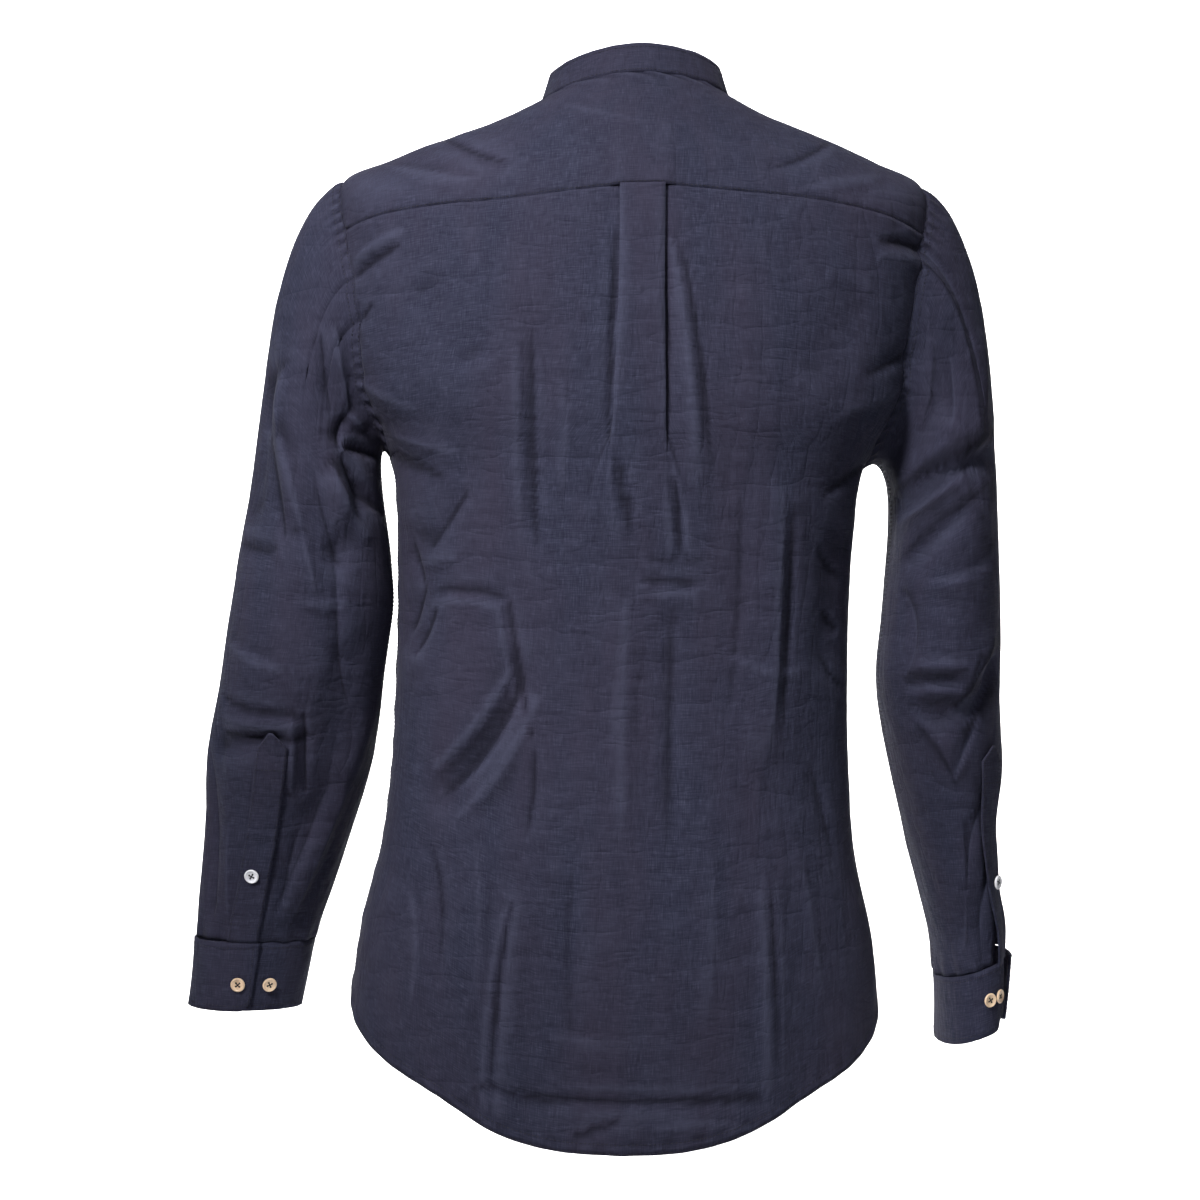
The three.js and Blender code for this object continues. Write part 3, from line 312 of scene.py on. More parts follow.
SLEEVE_CREASES = [
    # left sleeve from behind
    [1, 259, -214, 266, -240, 265, -262, 7, 2.6],
    [1, 270, -212, 277, -238, 276, -262, 5, -2.4],
    [1, 266, -258, 252, -300, 246, -336, 8, 2.4],
    [1, 246, -336, 240, -360, 234, -388, 9, 1.6],
    [1, 274, -262, 262, -306, 257, -345, 7, -2.0],
    [1, 226, -182, 220, -214, 215, -250, 7, 2.6],
    [1, 236, -186, 231, -220, 226, -250, 6, -2.2],
    [1, 215, -248, 222, -262, 219, -276, 5, -3.0],
    [1, 219, -272, 208, -270, 190, -279, 5, -3.4],
    [1, 205, -260, 208, -252, 216, -249, 5, 2.4],
    [1, 219, -276, 210, -298, 182, -326, 6, -3.6],
    [1, 226, -286, 220, -312, 196, -342, 8, 3.2],
    [1, 238, -292, 232, -330, 214, -366, 9, -1.8],
    [1, 217, -330, 224, -400, 208, -470, 8, -2.0],
    [1, 208, -390, 222, -396, 250, -388, 6, 1.4],
    [1, 300, -340, 282, -352, 262, -350, 7, -1.6],
    [1, 302, -420, 284, -436, 256, -440, 8, 1.6],
    [1, 306, -462, 280, -476, 246, -472, 6, -1.6],
    [1, 242, -471, 240, -500, 241, -538, 6, -2.2],
    [1, 251, -474, 250, -505, 252, -536, 6, 1.8],
    [1, 306, -490, 276, -497, 232, -490, 4, -2.2],
    [1, 306, -480, 276, -486, 236, -480, 6, 1.6],
    [1, 317, -500, 312, -560, 314, -650, 5, -2.0],
    [1, 210, -528, 236, -590, 258, -648, 6, 2.0],
    [1, 221, -524, 247, -586, 268, -640, 5, -1.6],
    [1, 246, -560, 256, -600, 264, -646, 6, -1.3],
    [1, 300, -560, 302, -600, 300, -648, 6, 1.4],
    # right sleeve from behind
    [1, -282, -262, -232, -282, -200, -330, 8, -4.2],
    [1, -286, -246, -240, -262, -204, -300, 10, 3.4],
    [1, -276, -286, -238, -306, -206, -356, 10, 3.2],
    [1, -196, -280, -204, -300, -196, -340, 6, -2.6],
    [1, -226, -180, -232, -214, -222, -250, 8, 2.0],
    [1, -240, -190, -246, -224, -240, -250, 7, -1.8],
    [1, -268, -170, -272, -210, -266, -244, 8, 1.5],
    [1, -282, -340, -262, -360, -222, -366, 8, -1.8],
    [1, -212, -372, -222, -400, -214, -436, 6, -2.0],
    [1, -290, -414, -276, -448, -257, -476, 6, -3.0],
    [1, -280, -404, -266, -434, -246, -462, 7, 2.6],
    [1, -272, -466, -262, -490, -253, -516, 5, -2.4],
    [1, -213, -446, -236, -440, -257, -443, 5, -2.6],
    [1, -214, -434, -236, -427, -258, -430, 6, 2.2],
    [1, -257, -443, -265, -434, -267, -420, 4, -1.6],
    [1, -222, -470, -240, -484, -256, -520, 7, 1.8],
    [1, -280, -520, -268, -560, -272, -610, 6, -1.8],
    [1, -262, -540, -270, -590, -276, -650, 6, 1.8],
    [1, -288, -580, -282, -620, -288, -660, 4, -2.0],
    [1, -270, -600, -274, -630, -272, -664, 4, -1.6],
    # the sleeves from the front, hidden in the photo
    [-1, 216, -262, 232, -290, 262, -300, 7, -3.0],
    [-1, 218, -248, 236, -272, 266, -282, 9, 2.4],
    [-1, 212, -380, 240, -396, 282, -384, 8, 1.8],
    [-1, 214, -440, 240, -462, 290, -462, 7, -2.4],
    [-1, 220, -452, 246, -476, 292, -476, 8, 1.8],
    [-1, 262, -540, 270, -590, 272, -646, 7, -1.8],
    [-1, 290, -530, 296, -590, 292, -646, 7, 1.5],
    [-1, -216, -262, -232, -292, -264, -304, 7, -3.0],
    [-1, -218, -248, -238, -274, -268, -286, 9, 2.4],
    [-1, -214, -386, -242, -400, -284, -390, 8, 1.8],
    [-1, -214, -446, -240, -468, -288, -466, 7, -2.4],
    [-1, -220, -458, -246, -482, -290, -480, 8, 1.8],
    [-1, -262, -550, -270, -600, -276, -656, 6, -1.8],
    [-1, -286, -540, -290, -600, -292, -656, 6, 1.4],
]

CREASE_STRENGTH = 1.7
SLEEVE_STRENGTH = 2.1
CREASE_SHARP = 1.2

# Half widths of a crease's steep side and its soft side, as shares of across, how it runs out at its ends and
# the number of straight steps that it is followed in
CREASE_STEEP, CREASE_SOFT = 0.55, 1.2
CREASE_TAPER = 0.8
CREASE_STEPS = 8

# Small crumpling: where its pattern starts, how wide and how high its slow, quick and fine waves are, and how
# much the quick and the fine ones count
CRUMPLE_SEED = 3.7
CRUMPLE_WAVES = ((46, 70), (24, 34), (10, 12))
CRUMPLE_QUICK, CRUMPLE_FINE = 0.5, 0.22

# Collar band
COLLAR_HEIGHT = 26
COLLAR_TUCK = 1.1
COLLAR_LEAN = 15 * DEG
NECK_TILT = 12 * DEG
COLLAR_ROUND = 12
BAND_WALL = 2.4
WALL = 1.6
SEAM_GAP = 0.3

ARM_COLUMNS = ["down", "x", "y", "half", "deep", "rise"]
ARM_LEFT = Curve(
    ARM_COLUMNS,
    [
        [334, 236.5, 2, 54.5, 64, 22],
        [383, 239.2, 6, 60.0, 61, 8],
        [445, 246.8, 4, 61.8, 58, 0],
        [507, 255.6, -10, 63.4, 52, 0],
        [557, 263.2, -24, 58.0, 45, 0],
        [605, 272.4, -34, 52.8, 40, 0],
        [638, 279.6, -41, 48.3, 37, 0],
        [654, 282.6, -44, 46.4, 36, 0],
    ],
)
ARM_RIGHT = Curve(
    ARM_COLUMNS,
    [
        [334, 249.0, 2, 41.5, 74, 18],
        [383, 248.5, 6, 44.5, 72, 8],
        [445, 248.0, 4, 47.0, 65, 0],
        [507, 258.5, -10, 43.5, 59, 0],
        [557, 265.5, -24, 35.5, 57, 2],
        [605, 275.5, -34, 30.0, 55, 6],
        [640, 284.5, -41, 27.5, 53, 9],
        [667, 288.0, -46, 26.0, 52, 11],
    ],
)
CUFF_LEFT = Curve(
    ARM_COLUMNS,
    [
        [654.8, 282.7, -44.1, 46.0, 35.5, 0],
        [682, 286.5, -47.5, 44.5, 35, 0],
        [709, 290.5, -51, 43.5, 34, 0],
    ],
)
CUFF_RIGHT = Curve(
    ARM_COLUMNS,
    [
        [667.9, 288.0, -46.2, 25.5, 52, 11],
        [695, 289, -49, 23.5, 54, 11],
        [722, 289, -52, 22.0, 55, 11],
    ],
)

# Folds of the sleeves by the turn round the arm and the distance down, the same as in the solids
FOLDS_LEFT = [
    [120, 200, 105, 400, 15, 3],
    [150, 210, 150, 330, 14, -4],
    [40, 300, 75, 360, 12, -4],
    [55, 420, 62, 560, 17, -4],
    [95, 492, 150, 500, 10, -3],
    [30, 480, 75, 640, 12, 3],
    [150, 490, 140, 640, 11, -3],
    [230, 330, 280, 420, 15, -3],
    [240, 470, 300, 520, 14, -3],
]
FOLDS_RIGHT = [
    [150, 250, 40, 352, 15, -5],
    [95, 180, 110, 300, 16, -3],
    [150, 420, 70, 480, 12, -3.5],
    [60, 450, 130, 442, 11, 3],
    [100, 500, 110, 640, 12, 3],
    [230, 330, 280, 420, 15, -3],
    [240, 470, 300, 520, 14, -3],
]
LEAVE_TOP = (160, -62)
LEAVE_SIDE = (95, -45)
LEAVE_UNDER_LEFT = (34, 34)
LEAVE_UNDER_RIGHT = (74, 34)
LEAVE_IN = 44
ARRIVE = 1.05

SLIT_TOP = 500
SLIT_TIP = 1
SLIT_EASE = 20
LEFT_SLIT = {"turn": 103 * DEG, "open": 3}
RIGHT_SLIT = {"turn": 128 * DEG, "open": 15}
PLACKET_WIDTH = 23
PLACKET_SHARE = 0.65
PLACKET_POINT = 12
PLACKET_LIFT = 2.9
PLACKET_TIP_WIDTH = 3
PLACKET_WALL = 1.4
RIGHT_PLACKET_STAND = 7

BAND_LAYER = 2.9
CUFF_ROUND = 8
LEFT_CUFF = {"from": 82 * DEG, "to": 482 * DEG, "lap": 46 * DEG}
RIGHT_CUFF = {"from": 146 * DEG, "to": 489 * DEG, "flare": 6, "ease": 52 * DEG}
ARM_BUTTONS = [
    # name, piece, distance down, turn in degrees, lift
    ("cuff_button_left_1", "cuff", 688, 66, 0),
    ("cuff_button_left_2", "cuff", 687, 96.5, BAND_LAYER),
    ("placket_button_left", "placket", 600, 101, PLACKET_LIFT),
    ("cuff_button_right_1", "cuff", 693, 101, 1.2),
    ("cuff_button_right_2", "cuff", 694, 119, 2.4),
    ("placket_button_right", "placket", 600, 124, PLACKET_LIFT + 2.2),
]

# How many cells each edge has, the same for the two pieces at a seam
FINE = 7
PARTS = {
    "side": 15 * FINE,
    "armhole_back": 10 * FINE,
    "armhole_yoke": 6 * FINE,
    "armhole_front": 11 * FINE,
    "back_half": 11 * FINE,
    "front_yoke": 5 * FINE,
    "neck_front": 4 * FINE,
    "cap": 44,
    "tube": 84,
    "sleeve_round": 2,
}

# Ripples beside the seams of each piece: the edge, how far in they reach and how strong they are
SEAM_RIPPLES = {
    "back": (("top", 5.0, 0.7), ("left", 5.0, 0.8), ("right", 5.0, 0.8)),
    "yoke": (("bottom", 5.0, 0.8), ("top", 6.0, 0.9)),
    "front_left": (("right", 5.0, 0.8), ("left", 5.0, 0.5)),
    "front_right": (("left", 5.0, 0.8), ("right", 5.0, 0.5)),
}

# Rows of stitches by their distance from the edge, at the underarm on both sides of the seam
HEM_EDGE_ROW = 1.4
SIDE_ROWS = (1.6, 7.5)
YOKE_ROW = 1.8
LAP_ROWS = (2.0, 30.0)
SLEEVE_END_ROWS = (7.0, 1.6)
UNDERARM_ROWS = (-2.2, 3.6)
CUFF_ROW = 4.5
PLACKET_ROW = 1.6
COLLAR_ROWS = (("bottom", 2.0), ("top", 3.5))

# Half a stitch as a share of the step, and the thread's half width, half height and height over the cloth as
# shares of its width
STITCH_HALF = 0.36
THREAD_WIDE, THREAD_HIGH, THREAD_RAISED = 0.55, 0.5, 0.2

# A button drawn at this radius: its half section as radius and height, its four holes and its crossed thread
BUTTON_DRAWN_RADIUS = 5.6
BUTTON_PROFILE = [
    (0, 0.1),
    (3.6, 0.1),
    (5.0, 0.35),
    (5.5, 0.9),
    (5.6, 1.35),
    (5.35, 1.95),
    (4.9, 2.25),
    (4.45, 2.2),
    (4.1, 1.85),
    (3.7, 1.62),
    (0, 1.6),
]
BUTTON_STEPS = 40
BUTTON_HOLES = {"away": 1.35, "radius": 0.85, "middle": 1, "depth": 8, "segments": 14}
BUTTON_THREAD_ENDS = {"away": 1.38, "radius": 0.62, "middle": 0.82, "depth": 1.7, "segments": 10}
BUTTON_THREAD_TURNS = (45, 135)
BUTTON_THREAD_SHIFTS = (-0.28, 0, 0.28)
BUTTON_THREAD_HEIGHT = 1.72
BUTTON_THREAD_SIZE = (2.05, 0.17, 0.2, 1)

# The stage in metres: the floor runs flat, bends up and goes on as the backdrop
CAMERA = {"distance": 1.8, "turn": 4 * DEG, "height": -0.383, "lens": 69.24, "shift": -0.02}
CAMERA_ROLL = 1.27 * DEG
FLOOR = {"near": 2.6, "level": -1.02, "half_width": 4, "flat": 3.8, "bend": 1.2, "length": 7.0, "steps": 24}
WORLD_STRENGTH = 0.16
LIGHTS = (
    # name, place, target, size, power, colour, spread in degrees
    ("key", (0.95, 1.5, 0.95), (0.03, 0.1, -0.34), 0.4, 5.2, (1, 0.99, 0.98), 44),
    ("fill", (-1.6, 2.6, -0.1), (-0.1, 0, -0.42), 1.8, 2.2, (0.96, 0.97, 1), 100),
    ("top", (0.1, 0.5, 1.5), (0, 0, -0.2), 0.9, 4.0, (1, 1, 1), 100),
    ("back", (0, -1.0, 1.6), (0, -2.6, -0.4), 2.4, 120, (1, 1, 1), 100),
)


def size_property(name, description, default, low, high):
    return bpy.props.FloatProperty(
        name=name, description=description, default=default, min=low, max=high, unit="LENGTH"
    )


def colour_property(name, description, default):
    return bpy.props.FloatVectorProperty(
        name=name, description=description, default=default, subtype="COLOR", size=3, min=0, max=1
    )


class ShirtSizes(bpy.types.PropertyGroup):
    cloth_thickness: size_property(
        "Cloth thickness", "Thickness of one layer of cloth with its seam allowances", 0.0009, 0.0003, 0.0016
    )
    band_thickness: size_property(
        "Band thickness", "Thickness of the collar band and the cuffs", 0.0022, 0.001, 0.003
    )
    crumple: size_property(
        "Crumple", "Height of the small uneven creases all over the cloth", 0.0008, 0, 0.003
    )
    pucker: size_property("Pucker", "Height of the ripples along the stitched seams", 0.0009, 0, 0.002)
    stitch_step: size_property("Stitch step", "Distance from one stitch to the next", 0.0032, 0.0015, 0.006)
    thread_width: size_property("Thread width", "Width of the sewing thread", 0.00058, 0.0002, 0.001)
    hem_width: size_property("Hem width", "Distance from the hem's edge to its stitches", 0.008, 0.004, 0.02)
    button_radius: size_property("Button radius", "Radius of every button", 0.0056, 0.004, 0.007)
    weave_pitch: size_property(
        "Weave pitch", "Distance between two yarns of the plain weave", 0.0006, 0.0003, 0.002
    )


class ShirtColours(bpy.types.PropertyGroup):
    cloth: colour_property("Cloth", "Dark navy of the linen and cotton cloth", (0.0272, 0.0298, 0.0540))
    # Paler yarns of the cloth, also mixed in as a painted highlight on the ridges of creases
    pale_yarn_and_ridge_highlight: colour_property("Cloth slubs", "Paler yarns in the cloth", (0.050, 0.0535, 0.088))
    cloth_dark: colour_property(
        "Cloth gaps", "Darker yarns and the gaps between them", (0.0145, 0.0148, 0.0285)
    )
    # Painted shade, not a colour of the cloth: mixed into the cloth's base colour in the hollows of creases
    # and beside seams, where shade falls
    crease_shade: colour_property(
        "Crease", "Darkest cloth, in the depth of creases and beside seams", (0.004, 0.0038, 0.0075)
    )
    thread: colour_property(
        "Thread", "Sewing thread, a little darker than the cloth", (0.0048, 0.0047, 0.0092)
    )
    pearl: colour_property(
        "Pearl button", "Pale button of the sleeve plackets, collar and front", (0.80, 0.80, 0.84)
    )
    horn: colour_property("Horn button", "Tan button of the cuffs", (0.80, 0.60, 0.41))
    floor: colour_property("Floor", "Plain pale floor and backdrop", (0.92, 0.92, 0.92))


# Small sums on arrays


def lerp(a, b, t):
    return a + (b - a) * t


def smooth(t):
    c = np.clip(t, 0, 1)
    return c * c * (3 - 2 * c)


def unit(v):
    return v / np.maximum(np.linalg.norm(v, axis=-1, keepdims=True), 1e-9)


def dot(a, b):
    return (a * b).sum(-1, keepdims=True)


def ripples(along, pitch, sway, sway_pitch):
    """Waves along a seam that keep changing their pitch a little."""
    return np.sin(along / pitch + sway * np.sin(along / sway_pitch))


def on_face(rows, face):
    """The folds or creases of the back (1) or the front (-1), without that column."""
    return [row[1:] for row in rows if row[0] == face]


def line_folds(folds, u, v):
    """Height of straight soft folds, each as u1, v1, u2, v2, across and out."""
    height = np.zeros(np.shape(u))
    for u1, v1, u2, v2, across, out in folds:
        du, dv = u2 - u1, v2 - v1
        length = math.hypot(du, dv)
        t = ((u - u1) * du + (v - v1) * dv) / length**2
        off = np.abs((u - u1) * dv - (v - v1) * du) / length
        taper = smooth(t * 4 + 0.5) * smooth((1 - t) * 4 + 0.5)
        height += out * taper * np.exp(-((off / across) ** 2))
    return height


def bent_creases(creases, x, z):
    """Height of bent creases, each a curve over its middle place."""
    height = np.zeros(np.shape(x))
    steps = np.linspace(0, 1, CREASE_STEPS + 1)
    for x1, z1, xm, zm, x2, z2, across, out in creases:
        px = (1 - steps) ** 2 * x1 + 2 * steps * (1 - steps) * xm + steps**2 * x2
        pz = (1 - steps) ** 2 * z1 + 2 * steps * (1 - steps) * zm + steps**2 * z2
        reach = 3 * across
        near = (x > px.min() - reach) & (x < px.max() + reach)
        near &= (z > pz.min() - reach) & (z < pz.max() + reach)
        if not near.any():
            continue
        nx, nz = x[near], z[near]
        best = np.full(nx.shape, 1e9)
        place, side = np.zeros(nx.shape), np.zeros(nx.shape)
        for k in range(CREASE_STEPS):
            du, dv = px[k + 1] - px[k], pz[k + 1] - pz[k]
            t = np.clip(((nx - px[k]) * du + (nz - pz[k]) * dv) / (du * du + dv * dv), 0, 1)
            off = np.hypot(nx - px[k] - t * du, nz - pz[k] - t * dv)
            beyond = (nx - px[k]) * dv - (nz - pz[k]) * du
            closer = off < best
            best = np.where(closer, off, best)
            place = np.where(closer, (k + t) / CREASE_STEPS, place)
            side = np.where(closer, beyond, side)
        taper = (4 * np.clip(place * (1 - place), 0, None)) ** CREASE_TAPER
        wide = across * (0.5 + 0.5 * taper) * np.where(side > 0, CREASE_STEEP, CREASE_SOFT)
        height[near] += out * taper * np.exp(-((best / wide) ** CREASE_SHARP))
    return height


def crumple(points):
    """Small uneven creases from the place alone, so that they pass on over a seam."""
    flat = points.reshape(-1, 3)
    height = np.empty(len(flat))
    (slow_wide, slow_high), (quick_wide, quick_high), (fine_wide, fine_high) = CRUMPLE_WAVES
    for k, (x, y, z) in enumerate(flat):
        slow = noise.noise(Vector((x / slow_wide + CRUMPLE_SEED, y / slow_wide, z / slow_high)))
        sharp = noise.noise(Vector((x / quick_wide, y / quick_wide + CRUMPLE_SEED, z / quick_high)))
        fine = noise.noise(Vector((x / fine_wide, y / fine_wide, z / fine_high + CRUMPLE_SEED)))
        height[k] = slow + CRUMPLE_QUICK * (1 - 2 * abs(sharp)) * (0.5 + slow) + CRUMPLE_FINE * fine
    return height.reshape(points.shape[:-1])


# The body's surface


def body_point(turn, level):
    turn, level = np.broadcast_arrays(np.asarray(turn, float), np.asarray(level, float))
    ring = BODY.at(level)
    c, s = np.cos(turn), np.sin(turn)
    square = ring["square"]
    reach = (np.abs(c) ** square + np.abs(s) ** square) ** (-1 / square)
    depth = np.where(s > 0, ring["back"], ring["front"])
    middle = np.where(s > 0, ring["backZ"], ring["frontZ"])
    x = ring["half"] * c * reach
    tip = SHOULDER_TIP * np.clip(-x / SHOULDER_TIP_REACH, -1, 1) + SHOULDER_RAISE
    high = smooth((level - UNDERARM_LEVEL) / (SHOULDER_LEVEL - UNDERARM_LEVEL))
    z = ring["sideZ"] + (middle - ring["sideZ"]) * s * s + tip * high
    return np.stack([x, depth * s * reach, z], -1)


def body_normal(turn, level):
    round_ = body_point(turn + 0.01, level) - body_point(turn - 0.01, level)
    up = body_point(turn, np.minimum(level + 2, NECK_LEVEL)) - body_point(turn, level - 2)
    return unit(np.cross(round_, up))


def body_vertex(turn, level, lift=0.0):
    """Places on the cloth of the body with the ways it faces."""
    turn, level = np.broadcast_arrays(np.asarray(turn, float), np.asarray(level, float))
    p = body_point(turn, level)
    n = body_normal(turn, level)
    sides = np.sin(turn)
    height = np.zeros(turn.shape)
    for face in (1, -1):
        here = (sides > 0) == (face > 0)
        if not here.any():
            continue
        x, z = p[here][:, 0], p[here][:, 2]
        fade = smooth(np.abs(sides[here]) * 3 - 0.2)
        height[here] = fade * (
            line_folds(on_face(BODY_FOLDS, face), x, z)
            + CREASE_STRENGTH * bent_creases(on_face(BODY_CREASES, face), x, z)
        )
    sizes = bpy.context.scene.shirt_sizes
    height = height + sizes.crumple / MM * crumple(p)
    return p + n * (height + lift)[..., None], n


def turn_at(x, level, face):
    """The turn at which a ring of the back or the front passes a distance x."""
    x, level = np.broadcast_arrays(np.asarray(x, float), np.asarray(level, float))
    low = np.zeros(x.shape)
    high = np.full(x.shape, math.pi)
    for _ in range(34):
        middle = (low + high) / 2
        before = body_point(middle * face, level)[..., 0] > x
        low = np.where(before, middle, low)
        high = np.where(before, high, middle)
    return (low + high) / 2 * face


# Edges of the pieces as places (turn, level), one to a row


def hem_edge(turn):
    from_side = np.minimum(np.abs(turn), math.pi - np.abs(turn)) / DEG
    drop = HEM.at(from_side)
    return np.stack([turn, SIDE_HEM_LEVEL - np.where(turn > 0, drop["back"], drop["front"])], -1)


def armhole_edge(at):
    middle = (UNDERARM_LEVEL + SHOULDER_LEVEL) / 2
    reach = (SHOULDER_LEVEL - UNDERARM_LEVEL) / 2
    s = np.sin(at)
    turn = ARMHOLE_TURN * np.sign(s) * np.abs(s) ** ARMHOLE_SQUARE
    return np.stack([turn, middle - reach * np.cos(at)], -1)


def mirrored_edge(edge):
    return np.stack([math.pi - edge[:, 0], edge[:, 1]], -1)


def spread(start, end, parts):
    return np.linspace(start, end, parts + 1)


def side_edge():
    levels = spread(SIDE_HEM_LEVEL, UNDERARM_LEVEL, PARTS["side"])
    return np.stack([np.zeros(len(levels)), levels], -1)


def yoke_seam_edge(share):
    turn0, level0 = armhole_edge(np.array(BACK_YOKE_AT))
    return np.stack(
        [lerp(turn0, math.pi / 2, share), lerp(level0, YOKE_SEAM_LEVEL_MIDDLE, smooth(share) ** 0.7)], -1
    )


def front_yoke_edge():
    share = spread(0, 1, PARTS["front_yoke"])
    turn0, level0 = armhole_edge(np.array(FRONT_YOKE_AT))
    return np.stack([lerp(turn0, FRONT_YOKE_NECK_TURN, share**1.3), lerp(level0, NECK_LEVEL, share)], -1)


def patch(bottom, top, left, right, hold=1):
    """Places stretched between four edges, rows from the bottom up."""

    def share(edge):
        steps = np.hypot(np.diff(edge[:, 0]) * MEAN_REACH, np.diff(edge[:, 1]))
        sums = np.concatenate([[0], np.cumsum(steps)])
        return sums / sums[-1]

    across = np.linspace(0, 1, len(bottom))[None, :]
    v = lerp(share(left)[:, None], share(right)[:, None], across)
    u = lerp(share(bottom)[None, :], share(top)[None, :], v)
    grid = []
    for k in (0, 1):
        bend_low = bottom[None, :, k] - lerp(bottom[0, k], bottom[-1, k], u)
        bend_high = top[None, :, k] - lerp(top[0, k], top[-1, k], u)
        sides = lerp(left[:, None, k], right[:, None, k], u)
        grid.append(sides + (1 - v) ** hold * bend_low + v**hold * bend_high)
    return np.stack(grid, -1)


# The pieces' grids: points and the ways they face, rows from the bottom up


def pleat_line(level):
    """The pleat's section from the plain cloth on the wearer's left to its middle, as x and height."""
    row = PLEAT.at(np.asarray([level], float))
    half, fold, high, open_ = (float(row[name][0]) for name in ("half", "fold", "high", "spread"))
    corners = [
        (half + 2 * open_ - fold + PLEAT_LEAD, 0),
        (half + 2 * open_ - fold, 0),
        (half + open_ - fold, high / 2),
        (half + open_, high / 2),
        (half, high),
        (half - max(fold, 0) - PLEAT_INSET, high),
        (0, high),
    ]
    cells = (3, 2, 4, 2, 3, 3)
    line = [corners[0]]
    for (x1, h1), (x2, h2), count in zip(corners, corners[1:], cells):
        line += [(lerp(x1, x2, k / count), lerp(h1, h2, k / count)) for k in range(1, count + 1)]
    return np.array(line)


def back_grid():
    half = PARTS["back_half"]
    left = np.concatenate([side_edge(), armhole_edge(spread(0, BACK_YOKE_AT, PARTS["armhole_back"]))[1:]])
    hem = hem_edge(np.clip(spread(0, math.pi, 2 * half), 1e-6, math.pi - 1e-6))
    seam = yoke_seam_edge(spread(0, 1, half))
    top = np.concatenate([seam, mirrored_edge(seam)[::-1][1:]])
    rows = patch(hem, top, left, mirrored_edge(left))
    lowest, highest = rows[0][half, 1], rows[-1][half, 1]
    points, ways = [], []
    for row in rows:
        level = row[half, 1]
        flat = smooth((level - lowest) / (highest - lowest) * PLEAT_LEVELS)
        line = pleat_line(level)
        edge = float(turn_at(line[0, 0], level, 1))
        start = row[0, 0]
        share = (row[:half, 0] - start) / (math.pi / 2 - start)
        turns = lerp(start, edge, share)
        levels = np.interp(turns, row[:, 0], row[:, 1])
        turns_right = math.pi - turns[::-1]
        levels_right = np.interp(turns_right, row[:, 0], row[:, 1])
        section = np.concatenate([line, line[::-1][1:] * [-1, 1]])
        pleat_turns = turn_at(section[:, 0], level, 1)
        all_turns = np.concatenate([turns, pleat_turns, turns_right])
        pleat_levels = lerp(np.interp(pleat_turns, row[:, 0], row[:, 1]), level, flat)
        all_levels = np.concatenate([levels, pleat_levels, levels_right])
        lifts = np.concatenate([np.zeros(half), section[:, 1], np.zeros(half)])
        p, n = body_vertex(all_turns, all_levels, lifts)
        points.append(p)
        ways.append(n)
    return np.array(points), np.array(ways)


def yoke_grid():
    half = PARTS["back_half"]
    seam = yoke_seam_edge(spread(0, 1, half))
    bottom = np.concatenate([seam, mirrored_edge(seam)[::-1][1:]])
    front = front_yoke_edge()[:-1]
    neck_parts = 2 * half - 2 * len(front)
    turns = spread(FRONT_YOKE_NECK_TURN, math.pi - FRONT_YOKE_NECK_TURN, neck_parts)
    neck = np.stack([turns, np.full(len(turns), NECK_LEVEL)], -1)
    top = np.concatenate([front, neck, mirrored_edge(front)[::-1]])
    side = armhole_edge(spread(BACK_YOKE_AT, FRONT_YOKE_AT, PARTS["armhole_yoke"]))
    places = patch(bottom, top, side, mirrored_edge(side))
    turn, level = places[..., 0], places[..., 1]
    x = np.abs(body_point(turn, level)[..., 0])
    up = np.linspace(0, 1, len(places))[:, None]
    over = smooth((YOKE_OVER["reach"] - x) / YOKE_OVER["fade"]) * (1 - smooth(up / YOKE_OVER["share"]))
    return body_vertex(turn, level + YOKE_OVER["gap"] * over, YOKE_OVER["lift"] * over)


def lap_share(turn, level):
    return smooth((FRONT_LIFT_END - body_point(turn, level)[..., 0]) / (FRONT_LIFT_END - FRONT_LAP))


def front_places():
    armhole = armhole_edge(spread(2 * math.pi, FRONT_YOKE_AT, PARTS["armhole_front"]))
    side = np.concatenate([side_edge(), armhole[1:]])
    first = turn_at(FRONT_LIFT_END, NECK_LEVEL, -1)
    turns = spread(first, FRONT_YOKE_NECK_TURN, PARTS["neck_front"])
    neck = np.stack([turns, np.full(len(turns), NECK_LEVEL)], -1)
    top = np.concatenate([neck, front_yoke_edge()[:-1][::-1]])
    start = turn_at(FRONT_LIFT_END, SIDE_HEM_LEVEL - 60, -1)
    bottom = hem_edge(spread(start, -1e-6, len(top) - 1))
    levels = lerp(bottom[0, 1], NECK_LEVEL, np.linspace(0, 1, len(side)))
    inner = np.stack([turn_at(FRONT_LIFT_END, levels, -1), levels], -1)
    places = patch(bottom, top, inner, side, FRONT_HOLD)
    lap = np.linspace(-FRONT_LAP, FRONT_LIFT_END, LAP_CELLS + 1)[:-1]
    lap_turns = turn_at(lap[None, :], levels[:, None], -1)
    lap_levels = np.broadcast_to(levels[:, None], lap_turns.shape)
    return np.concatenate([np.stack([lap_turns, lap_levels], -1), places], 1)


def front_left_grid():
    places = front_places()
    turn, level = places[..., 0], places[..., 1]
    return body_vertex(turn, level, LAYER * lap_share(turn, level))


def front_right_grid():
    places = front_places()[:, ::-1]
    return body_vertex(-math.pi - places[..., 0], places[..., 1])


def from_armhole(p, n, side):
    middle = body_point(0 if side > 0 else math.pi, (UNDERARM_LEVEL + SHOULDER_LEVEL) / 2)
    way = p - middle
    return unit(way - n * dot(way, n))


def arm_section(rows, down, turn):
    row = rows.at(np.asarray(down, float))
    c = -np.cos(turn)
    x = row["x"] + row["half"] * c
    y = row["y"] + row["deep"] * np.sin(turn)
    return np.stack(np.broadcast_arrays(x, y, -np.asarray(down) + row["rise"] * c), -1)


def grid_normals(points, closed):
    if closed:
        across = np.roll(points, -1, 1) - np.roll(points, 1, 1)
    else:
        across = np.gradient(points, axis=1)
    return unit(np.cross(across, np.gradient(points, axis=0)))


